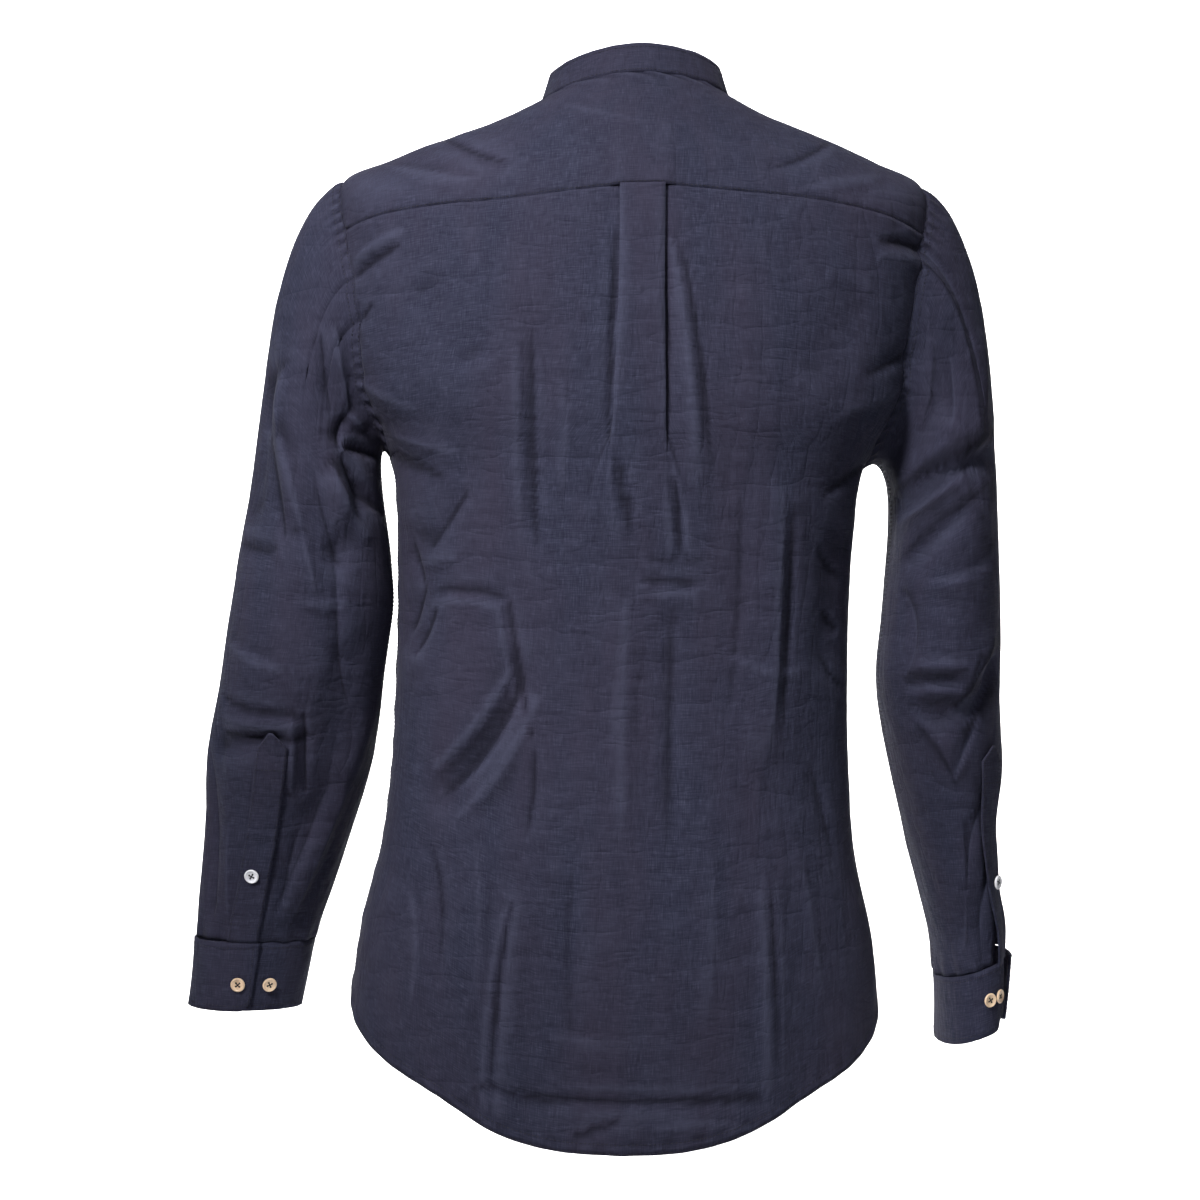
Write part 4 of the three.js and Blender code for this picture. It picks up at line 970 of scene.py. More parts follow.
def sleeve_start(mirror):
    """The closed armhole as for the wearer's left: its points, the ways they face and the ways out."""
    fine = PARTS["sleeve_round"]
    loop = np.concatenate(
        [
            armhole_edge(spread(0, BACK_YOKE_AT, fine * PARTS["armhole_back"])),
            armhole_edge(spread(BACK_YOKE_AT, FRONT_YOKE_AT, fine * PARTS["armhole_yoke"]))[1:],
            armhole_edge(spread(FRONT_YOKE_AT, 2 * math.pi, fine * PARTS["armhole_front"]))[1:-1],
        ]
    )
    turn, level = loop[:, 0], loop[:, 1]
    if mirror:
        turn = np.where(turn < 0, -1.0, 1.0) * math.pi - turn
    p, n = body_vertex(turn, level)
    away = from_armhole(p, n, -1 if mirror else 1)
    flip = MIRROR if mirror else 1
    return p * flip, n * flip, away * flip


def cap_rows(rows, under, turns, p, away):
    """Rows of the sleeve's top part, curved from the armhole into the first section of the arm."""
    first = rows.rows[0, 0]
    c = -np.cos(turns)
    leave = np.where(c[:, None] > 0, LEAVE_TOP, under)
    out = lerp(LEAVE_SIDE[0], leave[:, 0], np.abs(c) ** 1.2)
    up = lerp(LEAVE_SIDE[1], leave[:, 1], np.abs(c) ** 1.6)
    inward = away * (LEAVE_IN * smooth((0.4 - c) / 0.8))[:, None]
    start_way = np.stack([out, np.zeros(len(out)), up], -1) - inward
    end = arm_section(rows, first, turns)
    down_way = unit(arm_section(rows, first + 8, turns) - end)
    arrive = down_way * np.linalg.norm(end - p, axis=1)[:, None] * ARRIVE
    made = []
    for share in np.linspace(0, 1, PARTS["cap"] + 1)[:-1] ** 1.25:
        s2, s3 = share**2, share**3
        row = (2 * s3 - 3 * s2 + 1) * p + (s3 - 2 * s2 + share) * start_way
        made.append(row + (3 * s2 - 2 * s3) * end + (s3 - s2) * arrive)
    return made


def open_slit(points, down_of, column, end_width):
    """Moves the cloth on both sides of a column apart, a little at the slit's top and more at the cuff."""
    for j, down in enumerate(down_of):
        if down < SLIT_TOP:
            continue
        a, b = points[j, column], points[j, column + 1]
        width = np.linalg.norm(b - a)
        open_ = lerp(SLIT_TIP, end_width, (down - SLIT_TOP) / (down_of[-1] - SLIT_TOP))
        way = (b - a) / width
        side_shift = (width - open_) / 2
        for k in range(SLIT_EASE):
            ease = (1 - k / SLIT_EASE) ** 1.5
            points[j, column - k] += way * side_shift * ease
            points[j, column + 1 + k] -= way * side_shift * ease


def sleeve_grid(rows, folds, slit, under, mirror):
    """A sleeve from the armhole down, always as for the wearer's left, without the last column's repeat."""
    p, n, away = sleeve_start(mirror)
    steps = np.linalg.norm(np.roll(p, -1, 0) - p, axis=1)
    along_seam = np.concatenate([[0], np.cumsum(steps)[:-1]])
    turns = 2 * math.pi * along_seam / steps.sum()
    downs = spread(rows.rows[0, 0], rows.rows[-1, 0], PARTS["tube"])
    tube = [arm_section(rows, down, turns) for down in downs]
    points = np.array(cap_rows(rows, under, turns, p, away) + tube)
    ways = grid_normals(points, True)
    ways[0] = n
    row_at = np.linspace(0, 1, len(points))[:, None]
    fade = smooth(row_at * 12) * smooth((1 - row_at) * 16)
    mean = rows.rows[2]
    scale = math.pi / 360 * (mean[3] + mean[4])
    z = points[..., 2]
    column = np.broadcast_to(turns / DEG * scale, z.shape)
    height = line_folds(np.array(folds) * [scale, 1, scale, 1, 1, 1], column, -z)
    true_points = points * MIRROR if mirror else points
    for face in (1, -1):
        weight = smooth(ways[..., 1] * face * 2.2)
        creases = bent_creases(on_face(SLEEVE_CREASES, face), true_points[..., 0], z)
        height += SLEEVE_STRENGTH * weight * creases
    sizes = bpy.context.scene.shirt_sizes
    rough = sizes.crumple / MM * crumple(true_points) * smooth(row_at * 40)
    from_seam, from_end = row_at * len(points), (1 - row_at) * len(points)
    ripple = ripples(along_seam, 1.75, 2.2, 17) * np.exp(-((from_seam / 5) ** 2))
    ripple = ripple * (0.6 + 0.4 * np.sin(along_seam / 31)) * sizes.pucker / MM * 1.5
    ripple = ripple * smooth(from_seam / 1.5)
    bottom = np.sin(along_seam / 6.4) * np.exp(-((from_end / 4) ** 2)) * sizes.pucker / MM
    points = points + ways * (fade * height + rough + ripple + bottom)[..., None]
    down_of = np.concatenate([np.zeros(PARTS["cap"]), downs])
    slit_column = int(np.argmax(turns > slit["turn"])) - 1
    open_slit(points, down_of, slit_column, slit["open"])
    return points, grid_normals(points, True), (slit_column, int(np.argmax(down_of >= SLIT_TOP)))


def on_arm(rows, turn, down, lift):
    p = arm_section(rows, down, turn)
    around = arm_section(rows, down, turn + 0.02) - arm_section(rows, down, turn - 0.02)
    up = arm_section(rows, down - 2, turn) - arm_section(rows, down + 2, turn)
    n = unit(np.cross(up, around))
    return p + n * np.asarray(lift)[..., None], n


def placket_grid(rows, slit, stand):
    bottom = rows.rows[-1, 0]
    tip = SLIT_TOP - PLACKET_POINT
    downs = np.concatenate([spread(tip, SLIT_TOP, 4)[:-1], spread(SLIT_TOP, bottom, 48)])
    shares = np.linspace(-PLACKET_SHARE, 1 - PLACKET_SHARE, 11)
    down, share = np.meshgrid(downs, shares, indexing="ij")
    at_slit = np.full(down.shape, slit["turn"])
    step = np.linalg.norm(arm_section(rows, down, at_slit + 0.01) - arm_section(rows, down, at_slit), axis=-1)
    per_mm = 0.01 / step
    width = lerp(PLACKET_TIP_WIDTH, PLACKET_WIDTH, np.clip((down - tip) / PLACKET_POINT, 0, 1))
    turn = slit["turn"] + share * width * per_mm
    free = np.clip((slit["turn"] - turn) / (PLACKET_SHARE * PLACKET_WIDTH * per_mm), 0, 1)
    wave = 0.35 * np.sin(down / 9) * np.clip(np.abs(share - 0.5 + PLACKET_SHARE) * 2, 0, 1)
    lift = PLACKET_LIFT + wave + stand * free * smooth((down - SLIT_TOP) / (bottom - SLIT_TOP))
    return on_arm(rows, turn, down, lift)


def left_cuff_lift(turn):
    return BAND_LAYER * (1 - smooth((turn - LEFT_CUFF["from"] - LEFT_CUFF["lap"]) / (60 * DEG)))


def right_cuff_lift(turn):
    start = 1 - smooth((turn - RIGHT_CUFF["from"]) / RIGHT_CUFF["ease"])
    end = smooth((turn - RIGHT_CUFF["to"] + RIGHT_CUFF["ease"]) / RIGHT_CUFF["ease"])
    return RIGHT_CUFF["flare"] * (start + end / 2)


def cuff_grid(rows, cuff, lift):
    top, bottom = rows.rows[0, 0], rows.rows[-1, 0]
    turns = spread(cuff["from"], cuff["to"], 150)
    radius = (rows.rows[1, 3] + rows.rows[1, 4]) / 2
    from_end = np.minimum(turns - turns[0], turns[-1] - turns) * radius
    inside = np.clip(CUFF_ROUND - from_end, 0, CUFF_ROUND)
    cut = CUFF_ROUND - np.sqrt(CUFF_ROUND**2 - inside**2)
    share, turn = np.meshgrid(np.linspace(0, 1, 16), turns, indexing="ij")
    down = lerp(top, bottom - cut[None, :], share)
    edge = np.maximum(np.exp(-((share * 10) ** 2)), np.exp(-(((1 - share) * 10) ** 2)))
    wave = 0.25 * np.sin(turn * 17 + 2 * np.sin(turn * 5)) * edge + 0.5 * np.sin(turn * 3 + share * 2.5)
    return on_arm(rows, turn, down, lift(turn) + wave)


def collar_grid():
    lap = np.linspace(-FRONT_LAP, FRONT_LIFT_END, LAP_CELLS + 1)[:-1]
    lap_turns = turn_at(lap, NECK_LEVEL, -1)
    start = turn_at(FRONT_LIFT_END, NECK_LEVEL, -1)
    left = np.concatenate([lap_turns, spread(start, FRONT_YOKE_NECK_TURN, 18)[:-1]])
    neck = spread(FRONT_YOKE_NECK_TURN, math.pi - FRONT_YOKE_NECK_TURN, 110)
    turns = np.concatenate([left, neck, math.pi - left[::-1]])
    level = np.full(turns.shape, NECK_LEVEL)
    lapping = np.where(turns < -math.pi / 4, lap_share(turns, level), 0)
    base, body_way = body_vertex(turns, level, LAYER * lapping)
    axis = np.array([0, -math.sin(NECK_TILT), math.cos(NECK_TILT)])
    around = body_point(turns + 0.01, level) - body_point(turns - 0.01, level)
    out = unit(np.cross(around, axis))
    up = axis * math.cos(COLLAR_LEAN) - out * math.sin(COLLAR_LEAN)
    arrive = unit(body_point(turns, level) - body_point(turns, level - 2))
    bend = np.arccos(np.clip(dot(arrive, up), -1, 1))[:, 0]
    first = SEAM_GAP + (BAND_WALL + WALL) / 2 * np.tan(bend / 2) - COLLAR_TUCK
    end = np.where(turns[:, None] < math.pi / 2, base[0], base[-1])
    inside = np.clip(COLLAR_ROUND - np.linalg.norm(base - end, axis=1), 0, COLLAR_ROUND)
    cut = COLLAR_ROUND - np.sqrt(COLLAR_ROUND**2 - inside**2)
    n = unit(np.cross(around, up))
    layer = (BAND_LAYER - LAYER * dot(body_way, n)[:, 0]) * lapping
    along = np.cumsum(np.concatenate([[0], np.linalg.norm(np.diff(base, axis=0), axis=1)]))
    points = []
    for share in np.linspace(0, 1, 12):
        height = lerp(first, COLLAR_HEIGHT - cut, share)
        wave = 0.5 * np.sin(along / 37 + share) * min(share * 5, 1)
        points.append(base + up * height[:, None] + n * (layer + wave)[:, None])
    points = np.array(points)
    return points, np.broadcast_to(n, points.shape)


# Meshes


def lengths(points, axis):
    steps = np.linalg.norm(np.diff(points, axis=axis), axis=-1)
    shape = list(steps.shape)
    shape[axis] = 1
    return np.concatenate([np.zeros(shape), np.cumsum(steps, axis)], axis)


def between(after, middle, before):
    """The place on the straight way from before to after that is level with the middle."""
    far = np.linalg.norm(after - middle, axis=-1, keepdims=True) + 1e-6
    near = np.linalg.norm(before - middle, axis=-1, keepdims=True) + 1e-6
    return (after * near + before * far) / (near + far)


def hollow_shade_depths(points, closed):
    """How far each place of a grid lies below its neighbours, -1 on a sharp ridge and 1 at the bottom of a
    deep groove. The cloth's colour uses it for painted shade in creases and a painted highlight on ridges.
    """
    ways = grid_normals(points, closed)
    depth = np.zeros(points.shape[:2])
    for reach, share in SHADE_HOLLOW_REACH:
        around = np.pad(points, ((reach, reach), (0, 0), (0, 0)), mode="edge")
        upright = between(around[2 * reach :], points, around[: -2 * reach])
        sideways = np.pad(points, ((0, 0), (reach, reach), (0, 0)), mode="wrap" if closed else "edge")
        level = between(sideways[:, 2 * reach :], points, sideways[:, : -2 * reach])
        inner = np.ones(points.shape[:2])
        inner[:reach] = inner[-reach:] = 0
        if not closed:
            inner[:, :reach] = inner[:, -reach:] = 0
        depth += inner * share * dot(upright + level - 2 * points, ways)[..., 0]
    return np.clip(depth, -1, 1)


def add_mesh(name, bm):
    """An object in the scene from a bmesh, which is used up."""
    mesh = bpy.data.meshes.new(name)
    bm.to_mesh(mesh)
    bm.free()
    made = bpy.data.objects.new(name, mesh)
    bpy.context.scene.collection.objects.link(made)
    return made


def cloth_piece(name, points, thickness, slit=None, flipped=False):
    """A sheet from a grid moved onto its points, with its own map in metres and a thickness. A slit, given as
    its column and its top row, means a ring that is open there."""
    # The depth of each place below its neighbours, which the cloth's colour turns into painted shade in
    # creases and a painted highlight on ridges
    hollow_shade = hollow_shade_depths(points, bool(slit))
    if slit:
        points = np.concatenate([points, points[:, :1]], 1)
        hollow_shade = np.concatenate([hollow_shade, hollow_shade[:, :1]], 1)
    if flipped:
        points, hollow_shade = points[::-1], hollow_shade[::-1]
    rows, columns = points.shape[:2]
    u = lengths(points, 1)
    u = (u - u[:, columns // 2][:, None]) * MM
    v = np.broadcast_to(lengths(points, 0).mean(1)[:, None], u.shape) * MM
    bm = bmesh.new()
    bmesh.ops.create_grid(bm, x_segments=columns - 1, y_segments=rows - 1, size=1)
    layer = bm.loops.layers.uv.new("cloth")
    shade = bm.verts.layers.float.new("hollow_shade")
    bm.verts.index_update()
    places = []
    for vert in bm.verts:
        i = round((vert.co.x + 1) / 2 * (columns - 1))
        j = round((vert.co.y + 1) / 2 * (rows - 1))
        places.append((i, j))
        vert.co = Vector(points[j, i]) * MM
        vert[shade] = hollow_shade[j, i]
    gone = []
    for face in bm.faces:
        for loop in face.loops:
            i, j = places[loop.vert.index]
            loop[layer].uv = (u[j, i], v[j, i])
        face.smooth = True
        column, row = (min(places[vert.index][k] for vert in face.verts) for k in (0, 1))
        if flipped:
            row = rows - 2 - row
        if slit and column == slit[0] and row >= slit[1]:
            gone.append(face)
    if slit:
        bmesh.ops.delete(bm, geom=gone, context="FACES")
        bmesh.ops.remove_doubles(bm, verts=bm.verts, dist=1e-7)
    piece = add_mesh(name, bm)
    wall = piece.modifiers.new("Thickness", "SOLIDIFY")
    wall.thickness = thickness
    wall.offset = 0
    wall.use_quality_normals = True
    return piece


def inset_path(points, normals, edge, distance):
    """A line on a grid at a distance in from one of its edges, with the ways the cloth faces."""
    if edge == "top":
        points, normals = points[::-1], normals[::-1]
    if edge in ("left", "right"):
        points, normals = points.swapaxes(0, 1), normals.swapaxes(0, 1)
        if edge == "right":
            points, normals = points[::-1], normals[::-1]
    far = lengths(points, 0)
    line, ways = [], []
    for k in range(points.shape[1]):
        line.append([np.interp(distance, far[:, k], points[:, k, a]) for a in range(3)])
        ways.append([np.interp(distance, far[:, k], normals[:, k, a]) for a in range(3)])
    return np.array(line), unit(np.array(ways))


def stitch_row(points, ways, edge, distance, half, part=slice(None)):
    """A row of stitches beside an edge, or on a part of it, with half the cloth's thickness."""
    line, facing = inset_path(points, ways, edge, distance)
    return line[part], facing[part], half


def stitch_piece(name, lines):
    """Rows of stitches, each as its points, the ways the cloth faces and half the cloth's thickness."""
    sizes = bpy.context.scene.shirt_sizes
    step, wide = sizes.stitch_step / MM, sizes.thread_width / MM
    bm = bmesh.new()
    for line, ways, lift in lines:
        far = np.concatenate([[0], np.cumsum(np.linalg.norm(np.diff(line, axis=0), axis=1))])
        for at in np.arange(step / 2, far[-1] - step / 2, step):
            a = Vector([np.interp(at - STITCH_HALF * step, far, line[:, k]) for k in range(3)])
            b = Vector([np.interp(at + STITCH_HALF * step, far, line[:, k]) for k in range(3)])
            n = Vector([np.interp(at, far, ways[:, k]) for k in range(3)]).normalized()
            along = (b - a).normalized()
            side = n.cross(along).normalized()
            turn = Matrix((along, side, along.cross(side))).transposed().to_4x4()
            place = Matrix.Translation((a + b) / 2 * MM + n * (lift + wide * THREAD_RAISED) * MM)
            size = ((b - a).length * MM / 2, wide * MM * THREAD_WIDE, wide * MM * THREAD_HIGH, 1)
            matrix = place @ turn @ Matrix.Diagonal(size)
            bmesh.ops.create_icosphere(bm, subdivisions=1, radius=1, matrix=matrix)
    for face in bm.faces:
        face.smooth = True
    piece = add_mesh(name, bm)
    piece.data.materials.append(thread_material())
    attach(piece, "root")


def dress(piece, node):
    piece.data.materials.append(cloth_material())
    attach(piece, "root")
    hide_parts(node)


# Materials


class Link:
    """A socket of the material's nodes that can be written in sums."""

    def __init__(self, shader, socket):
        self.shader, self.socket = shader, socket

    def _math(self, operation, *values):
        return self.shader.node("ShaderNodeMath", {"operation": operation}, dict(enumerate(values)))

    def __add__(self, other):
        return self._math("ADD", self, other)

    __radd__ = __add__

    def __sub__(self, other):
        return self._math("SUBTRACT", self, other)

    def __rsub__(self, other):
        return self._math("SUBTRACT", other, self)

    def __mul__(self, other):
        return self._math("MULTIPLY", self, other)

    __rmul__ = __mul__


class Shader:
    """A material built from its nodes."""

    def __init__(self, name):
        self.material = bpy.data.materials.new(name)
        self.material.use_nodes = True
        self.tree = self.material.node_tree
        self.surface = self.tree.nodes["Principled BSDF"]

    def node(self, kind, settings, values, output=0):
        made = self.tree.nodes.new(kind)
        for key, value in settings.items():
            setattr(made, key, value)
        for key, value in values.items():
            self.set(made.inputs[key], value)
        return Link(self, made.outputs[output])

    def set(self, socket, value):
        if isinstance(value, Link):
            self.tree.links.new(value.socket, socket)
        else:
            socket.default_value = value

    def put(self, **values):
        for key, value in values.items():
            self.set(self.surface.inputs[key.replace("_", " ")], value)
        return self.material

    def mix(self, share, a, b):
        return self.node("ShaderNodeMix", {"data_type": "RGBA"}, {0: share, 6: a, 7: b}, 2)

    def place(self):
        return self.node("ShaderNodeTexCoord", {}, {}, 3)

    def stretched(self, vector, scale):
        return self.node("ShaderNodeMapping", {}, {"Vector": vector, "Scale": scale})

    def noise(self, vector, scale, detail=2.0, roughness=0.5):
        values = {"Vector": vector, "Scale": scale, "Detail": detail, "Roughness": roughness}
        return self.node("ShaderNodeTexNoise", {}, values)

    def yarns(self, vector, way, scale):
        """Fine bands across one way of the cloth's map."""
        settings = {"wave_type": "BANDS", "bands_direction": way}
        values = {"Vector": vector, "Scale": scale, "Distortion": 0.6, "Detail": 1.0, "Detail Scale": 2.0}
        return self.node("ShaderNodeTexWave", settings, values, 1)

    def bump(self, height, strength, distance, **values):
        values = {"Strength": strength, "Distance": distance, "Height": height, **values}
        return self.node("ShaderNodeBump", {}, values)

    def ridge(self, value):
        """Sharp creases along the places where a soft value passes its middle."""
        away = self.node("ShaderNodeMath", {"operation": "ABSOLUTE"}, {0: value - 0.5})
        return self.node("ShaderNodeMath", {"operation": "POWER"}, {0: away * 5, 1: 0.6})

    def ranged(self, value, low, high, to_low, to_high):
        values = {"Value": value, "From Min": low, "From Max": high, "To Min": to_low, "To Max": to_high}
        return self.node("ShaderNodeMapRange", {}, values)


def rgba(colour):
    return (*colour, 1.0)


def cloth_material():
    """Linen and cotton plain weave: crossing slubby yarns, soft sheen and uneven colour, with painted shade
    in creases and a painted highlight on ridges.
    """
    name = "linen_cloth"
    if name in bpy.data.materials:
        return bpy.data.materials[name]
    colours = bpy.context.scene.shirt_colours
    pitch = bpy.context.scene.shirt_sizes.weave_pitch
    s = Shader(name)
    uv = s.node("ShaderNodeUVMap", {"uv_map": "cloth"}, {})
    place = s.place()
    weft = s.noise(s.stretched(uv, (14, 190, 1)), 6.0, 3.0, 0.6)
    warp = s.noise(s.stretched(uv, (230, 16, 1)), 6.0, 3.0, 0.6)
    yarns = s.ranged(weft + warp, 0.75, 1.25, 0.0, 1.0)
    patches = s.noise(s.stretched(place, (17, 17, 5)), 1.0, 3.0, 0.55)
    worn = s.noise(place, 42.0, 4.0, 0.6)
    base = s.mix(yarns, rgba(colours.cloth_dark), rgba(colours.cloth))
    slubs = s.ranged(warp * weft, 0.29, 0.42, 0.0, 0.45)
    base = s.mix(slubs, base, rgba(colours.pale_yarn_and_ridge_highlight))
    base = s.mix(s.ranged(patches, 0.36, 0.64, 0.0, 0.5), base, (0.0290, 0.0245, 0.0425, 1))
    base = s.mix(s.ranged(worn, 0.5, 0.75, 0.0, 0.16), base, rgba(colours.pale_yarn_and_ridge_highlight))
    # Painted shade: darker in the hollows of creases and beside seams, where shade falls; painted highlight:
    # paler on the ridges
    hollow_shade = s.node("ShaderNodeAttribute", {"attribute_name": "hollow_shade"}, {}, 2)
    base = s.mix(s.ranged(hollow_shade, 0.08, 1.0, 0.0, 0.62), base, rgba(colours.crease_shade))
    base = s.mix(s.ranged(hollow_shade, -0.1, -1.0, 0.0, 0.4), base, rgba(colours.pale_yarn_and_ridge_highlight))
    crinkle = s.noise(place, 130.0, 4.0, 0.62)
    lying = s.noise(s.stretched(place, (9, 9, 34)), 1.0, 3.0, 0.55)
    hanging = s.noise(s.stretched(place, (46, 46, 8)), 1.0, 3.0, 0.55)
    broad = s.bump(s.ridge(lying) + s.ridge(hanging) * 0.8, 0.46, 0.0022)
    threads = s.yarns(uv, "X", 0.32 / pitch) * 0.16 + s.yarns(uv, "Y", 0.32 / pitch) * 0.16
    relief = threads + weft * 0.5 + warp * 0.5 + crinkle * 1.5 + worn * 1.7
    bump = s.bump(relief, 0.34, 0.0009, Normal=broad)
    rough = s.ranged(yarns, 0.0, 1.0, 0.96, 0.84)
    return s.put(
        Base_Color=base,
        Roughness=rough,
        Normal=bump,
        Sheen_Weight=0.035,
        Sheen_Roughness=0.45,
        Sheen_Tint=(0.62, 0.62, 0.8, 1),
        Specular_IOR_Level=0.10,
    )


def thread_material():
    name = "sewing_thread"
    if name in bpy.data.materials:
        return bpy.data.materials[name]
    s = Shader(name)
    twist = s.noise(s.place(), 900.0, 2.0)
    colour = rgba(bpy.context.scene.shirt_colours.thread)
    base = s.mix(s.ranged(twist, 0.3, 0.7, 0.0, 0.5), colour, (0.022, 0.022, 0.038, 1))
    return s.put(Base_Color=base, Roughness=0.7, Specular_IOR_Level=0.3)


def button_material(name, colour, dark, veins):
    if name in bpy.data.materials:
        return bpy.data.materials[name]
    s = Shader(name)
    place = s.place()
    cloud = s.noise(s.stretched(place, (1, 1, 0.25)), veins, 4.0, 0.6)
    speck = s.noise(place, veins * 6, 2.0)
    base = s.mix(s.ranged(cloud, 0.35, 0.7, 0.0, 0.55), rgba(colour), rgba(dark))
    base = s.mix(s.ranged(speck, 0.55, 0.75, 0.0, 0.3), base, (0.85, 0.82, 0.78, 1))
    rough = s.ranged(cloud, 0.3, 0.7, 0.24, 0.4)
    return s.put(Base_Color=base, Roughness=rough, Coat_Weight=0.25, Coat_Roughness=0.2)


# Operators


def hem_relief(points, normals, distance):
    """A turned hem: a little thicker up to its stitches, with a puckered line there."""
    pucker = bpy.context.scene.shirt_sizes.pucker / MM
    far, along = lengths(points, 0), lengths(points, 1)
    step = 1 - smooth((far - distance) / 2.5)
    line = np.exp(-(((far - distance) / 2.2) ** 2))
    wave = ripples(along, 3.4, 1.3, 19) * np.exp(-(((far - distance * 0.6) / distance) ** 2))
    height = 0.45 * step - 0.4 * line + 0.35 * wave * pucker
    return points + normals * height[..., None]


def seam_relief(points, normals, seams):
    """Ripples of the cloth beside its sewn seams."""
    pucker = bpy.context.scene.shirt_sizes.pucker / MM
    for edge, distance, amount in seams:
        axis = 0 if edge in ("bottom", "top") else 1
        far = lengths(points, axis)
        if edge in ("top", "right"):
            far = np.flip(lengths(np.flip(points, axis), axis), axis)
        wave = ripples(lengths(points, 1 - axis), 4.3, 1.6, 27)
        wave = wave * np.exp(-((far / distance) ** 2)) * smooth(far / 1.5)
        points = points + normals * (wave * amount * pucker)[..., None]
    return points


class SHIRT_OT_back(bpy.types.Operator):
    """Makes the back with its box pleat, hem and the stitches on it"""

    bl_idname = "shirt.back"
    bl_label = "Back"

    def execute(self, context):
        sizes = context.scene.shirt_sizes
        points, ways = back_grid()
        hem = sizes.hem_width / MM
        points = hem_relief(points, ways, hem)
        points = seam_relief(points, ways, SEAM_RIPPLES["back"])
        piece = cloth_piece("back_cloth", points, sizes.cloth_thickness)
        dress(piece, "back")
        half = sizes.cloth_thickness / MM / 2
        lines = [stitch_row(points, ways, "bottom", distance, half) for distance in (hem, HEM_EDGE_ROW)]
        side = slice(PARTS["side"] + 1)
        for edge in ("left", "right"):
            lines += [stitch_row(points, ways, edge, distance, half, side) for distance in SIDE_ROWS]
        stitch_piece("stitches_back", lines)
        return {"FINISHED"}


class SHIRT_OT_yoke(bpy.types.Operator):
    """Makes the yoke over the shoulders with its edge stitches"""

    bl_idname = "shirt.yoke"
    bl_label = "Yoke"

    def execute(self, context):
        sizes = context.scene.shirt_sizes
        points, ways = yoke_grid()
        points = seam_relief(points, ways, SEAM_RIPPLES["yoke"])
        piece = cloth_piece("yoke_cloth", points, sizes.cloth_thickness)
        dress(piece, "yoke")
        half = sizes.cloth_thickness / MM / 2
        lines = [stitch_row(points, ways, "bottom", YOKE_ROW, half)]
        front = PARTS["front_yoke"] + 1
        for part in (slice(front), slice(-front, None)):
            lines.append(stitch_row(points, ways, "top", YOKE_ROW, half, part))
        stitch_piece("stitches_yoke", lines)
        return {"FINISHED"}


class SHIRT_OT_fronts(bpy.types.Operator):
    """Makes the two fronts, the left one lapping over the right one, with their hems and stitches"""

    bl_idname = "shirt.fronts"
    bl_label = "Fronts"

    def execute(self, context):
        sizes = context.scene.shirt_sizes
        hem = sizes.hem_width / MM
        half = sizes.cloth_thickness / MM / 2
        lines = []
        for node, grid, side, lap in (
            ("front_left", front_left_grid, "right", "left"),
            ("front_right", front_right_grid, "left", "right"),
        ):
            points, ways = grid()
            points = hem_relief(points, ways, hem)
            points = seam_relief(points, ways, SEAM_RIPPLES[node])
            piece = cloth_piece(f"{node}_cloth", points, sizes.cloth_thickness)
            dress(piece, node)
            lines.append(stitch_row(points, ways, "bottom", hem, half))
            lines.append(stitch_row(points, ways, side, SIDE_ROWS[0], half, slice(PARTS["side"] + 1)))
            lines += [stitch_row(points, ways, lap, distance, half) for distance in LAP_ROWS]
        stitch_piece("stitches_fronts", lines)
        return {"FINISHED"}


class SHIRT_OT_sleeves(bpy.types.Operator):
    """Makes both sleeves with their slits, puckered armhole seams and felled underarm seams"""

    bl_idname = "shirt.sleeves"
    bl_label = "Sleeves"

    def execute(self, context):
        sizes = context.scene.shirt_sizes
        half = sizes.cloth_thickness / MM / 2
        lines = []
        for side, rows, folds, slit, under, mirror in (
            ("left", ARM_LEFT, FOLDS_LEFT, LEFT_SLIT, LEAVE_UNDER_LEFT, False),
            ("right", ARM_RIGHT, FOLDS_RIGHT, RIGHT_SLIT, LEAVE_UNDER_RIGHT, True),
        ):
            points, ways, opening = sleeve_grid(rows, folds, slit, under, mirror)
            if mirror:
                points, ways = points * MIRROR, ways * MIRROR
            piece = cloth_piece(
                f"sleeve_{side}_cloth", points, sizes.cloth_thickness, slit=opening, flipped=not mirror
            )
            dress(piece, f"sleeve_{side}")
            ring = np.concatenate([points, points[:, :1]], 1)
            ring_ways = np.concatenate([ways, ways[:, :1]], 1)
            lines += [stitch_row(ring, ring_ways, "bottom", distance, half) for distance in SLEEVE_END_ROWS]
            around = lengths(ring, 1)
            for shift in UNDERARM_ROWS:
                path, way = [], []
                for j in range(3, len(points)):
                    at = shift % around[j, -1]
                    path.append([np.interp(at, around[j], ring[j, :, a]) for a in range(3)])
                    way.append([np.interp(at, around[j], ring_ways[j, :, a]) for a in range(3)])
                lines.append((np.array(path), unit(np.array(way)), half))
        stitch_piece("stitches_sleeves", lines)
        return {"FINISHED"}


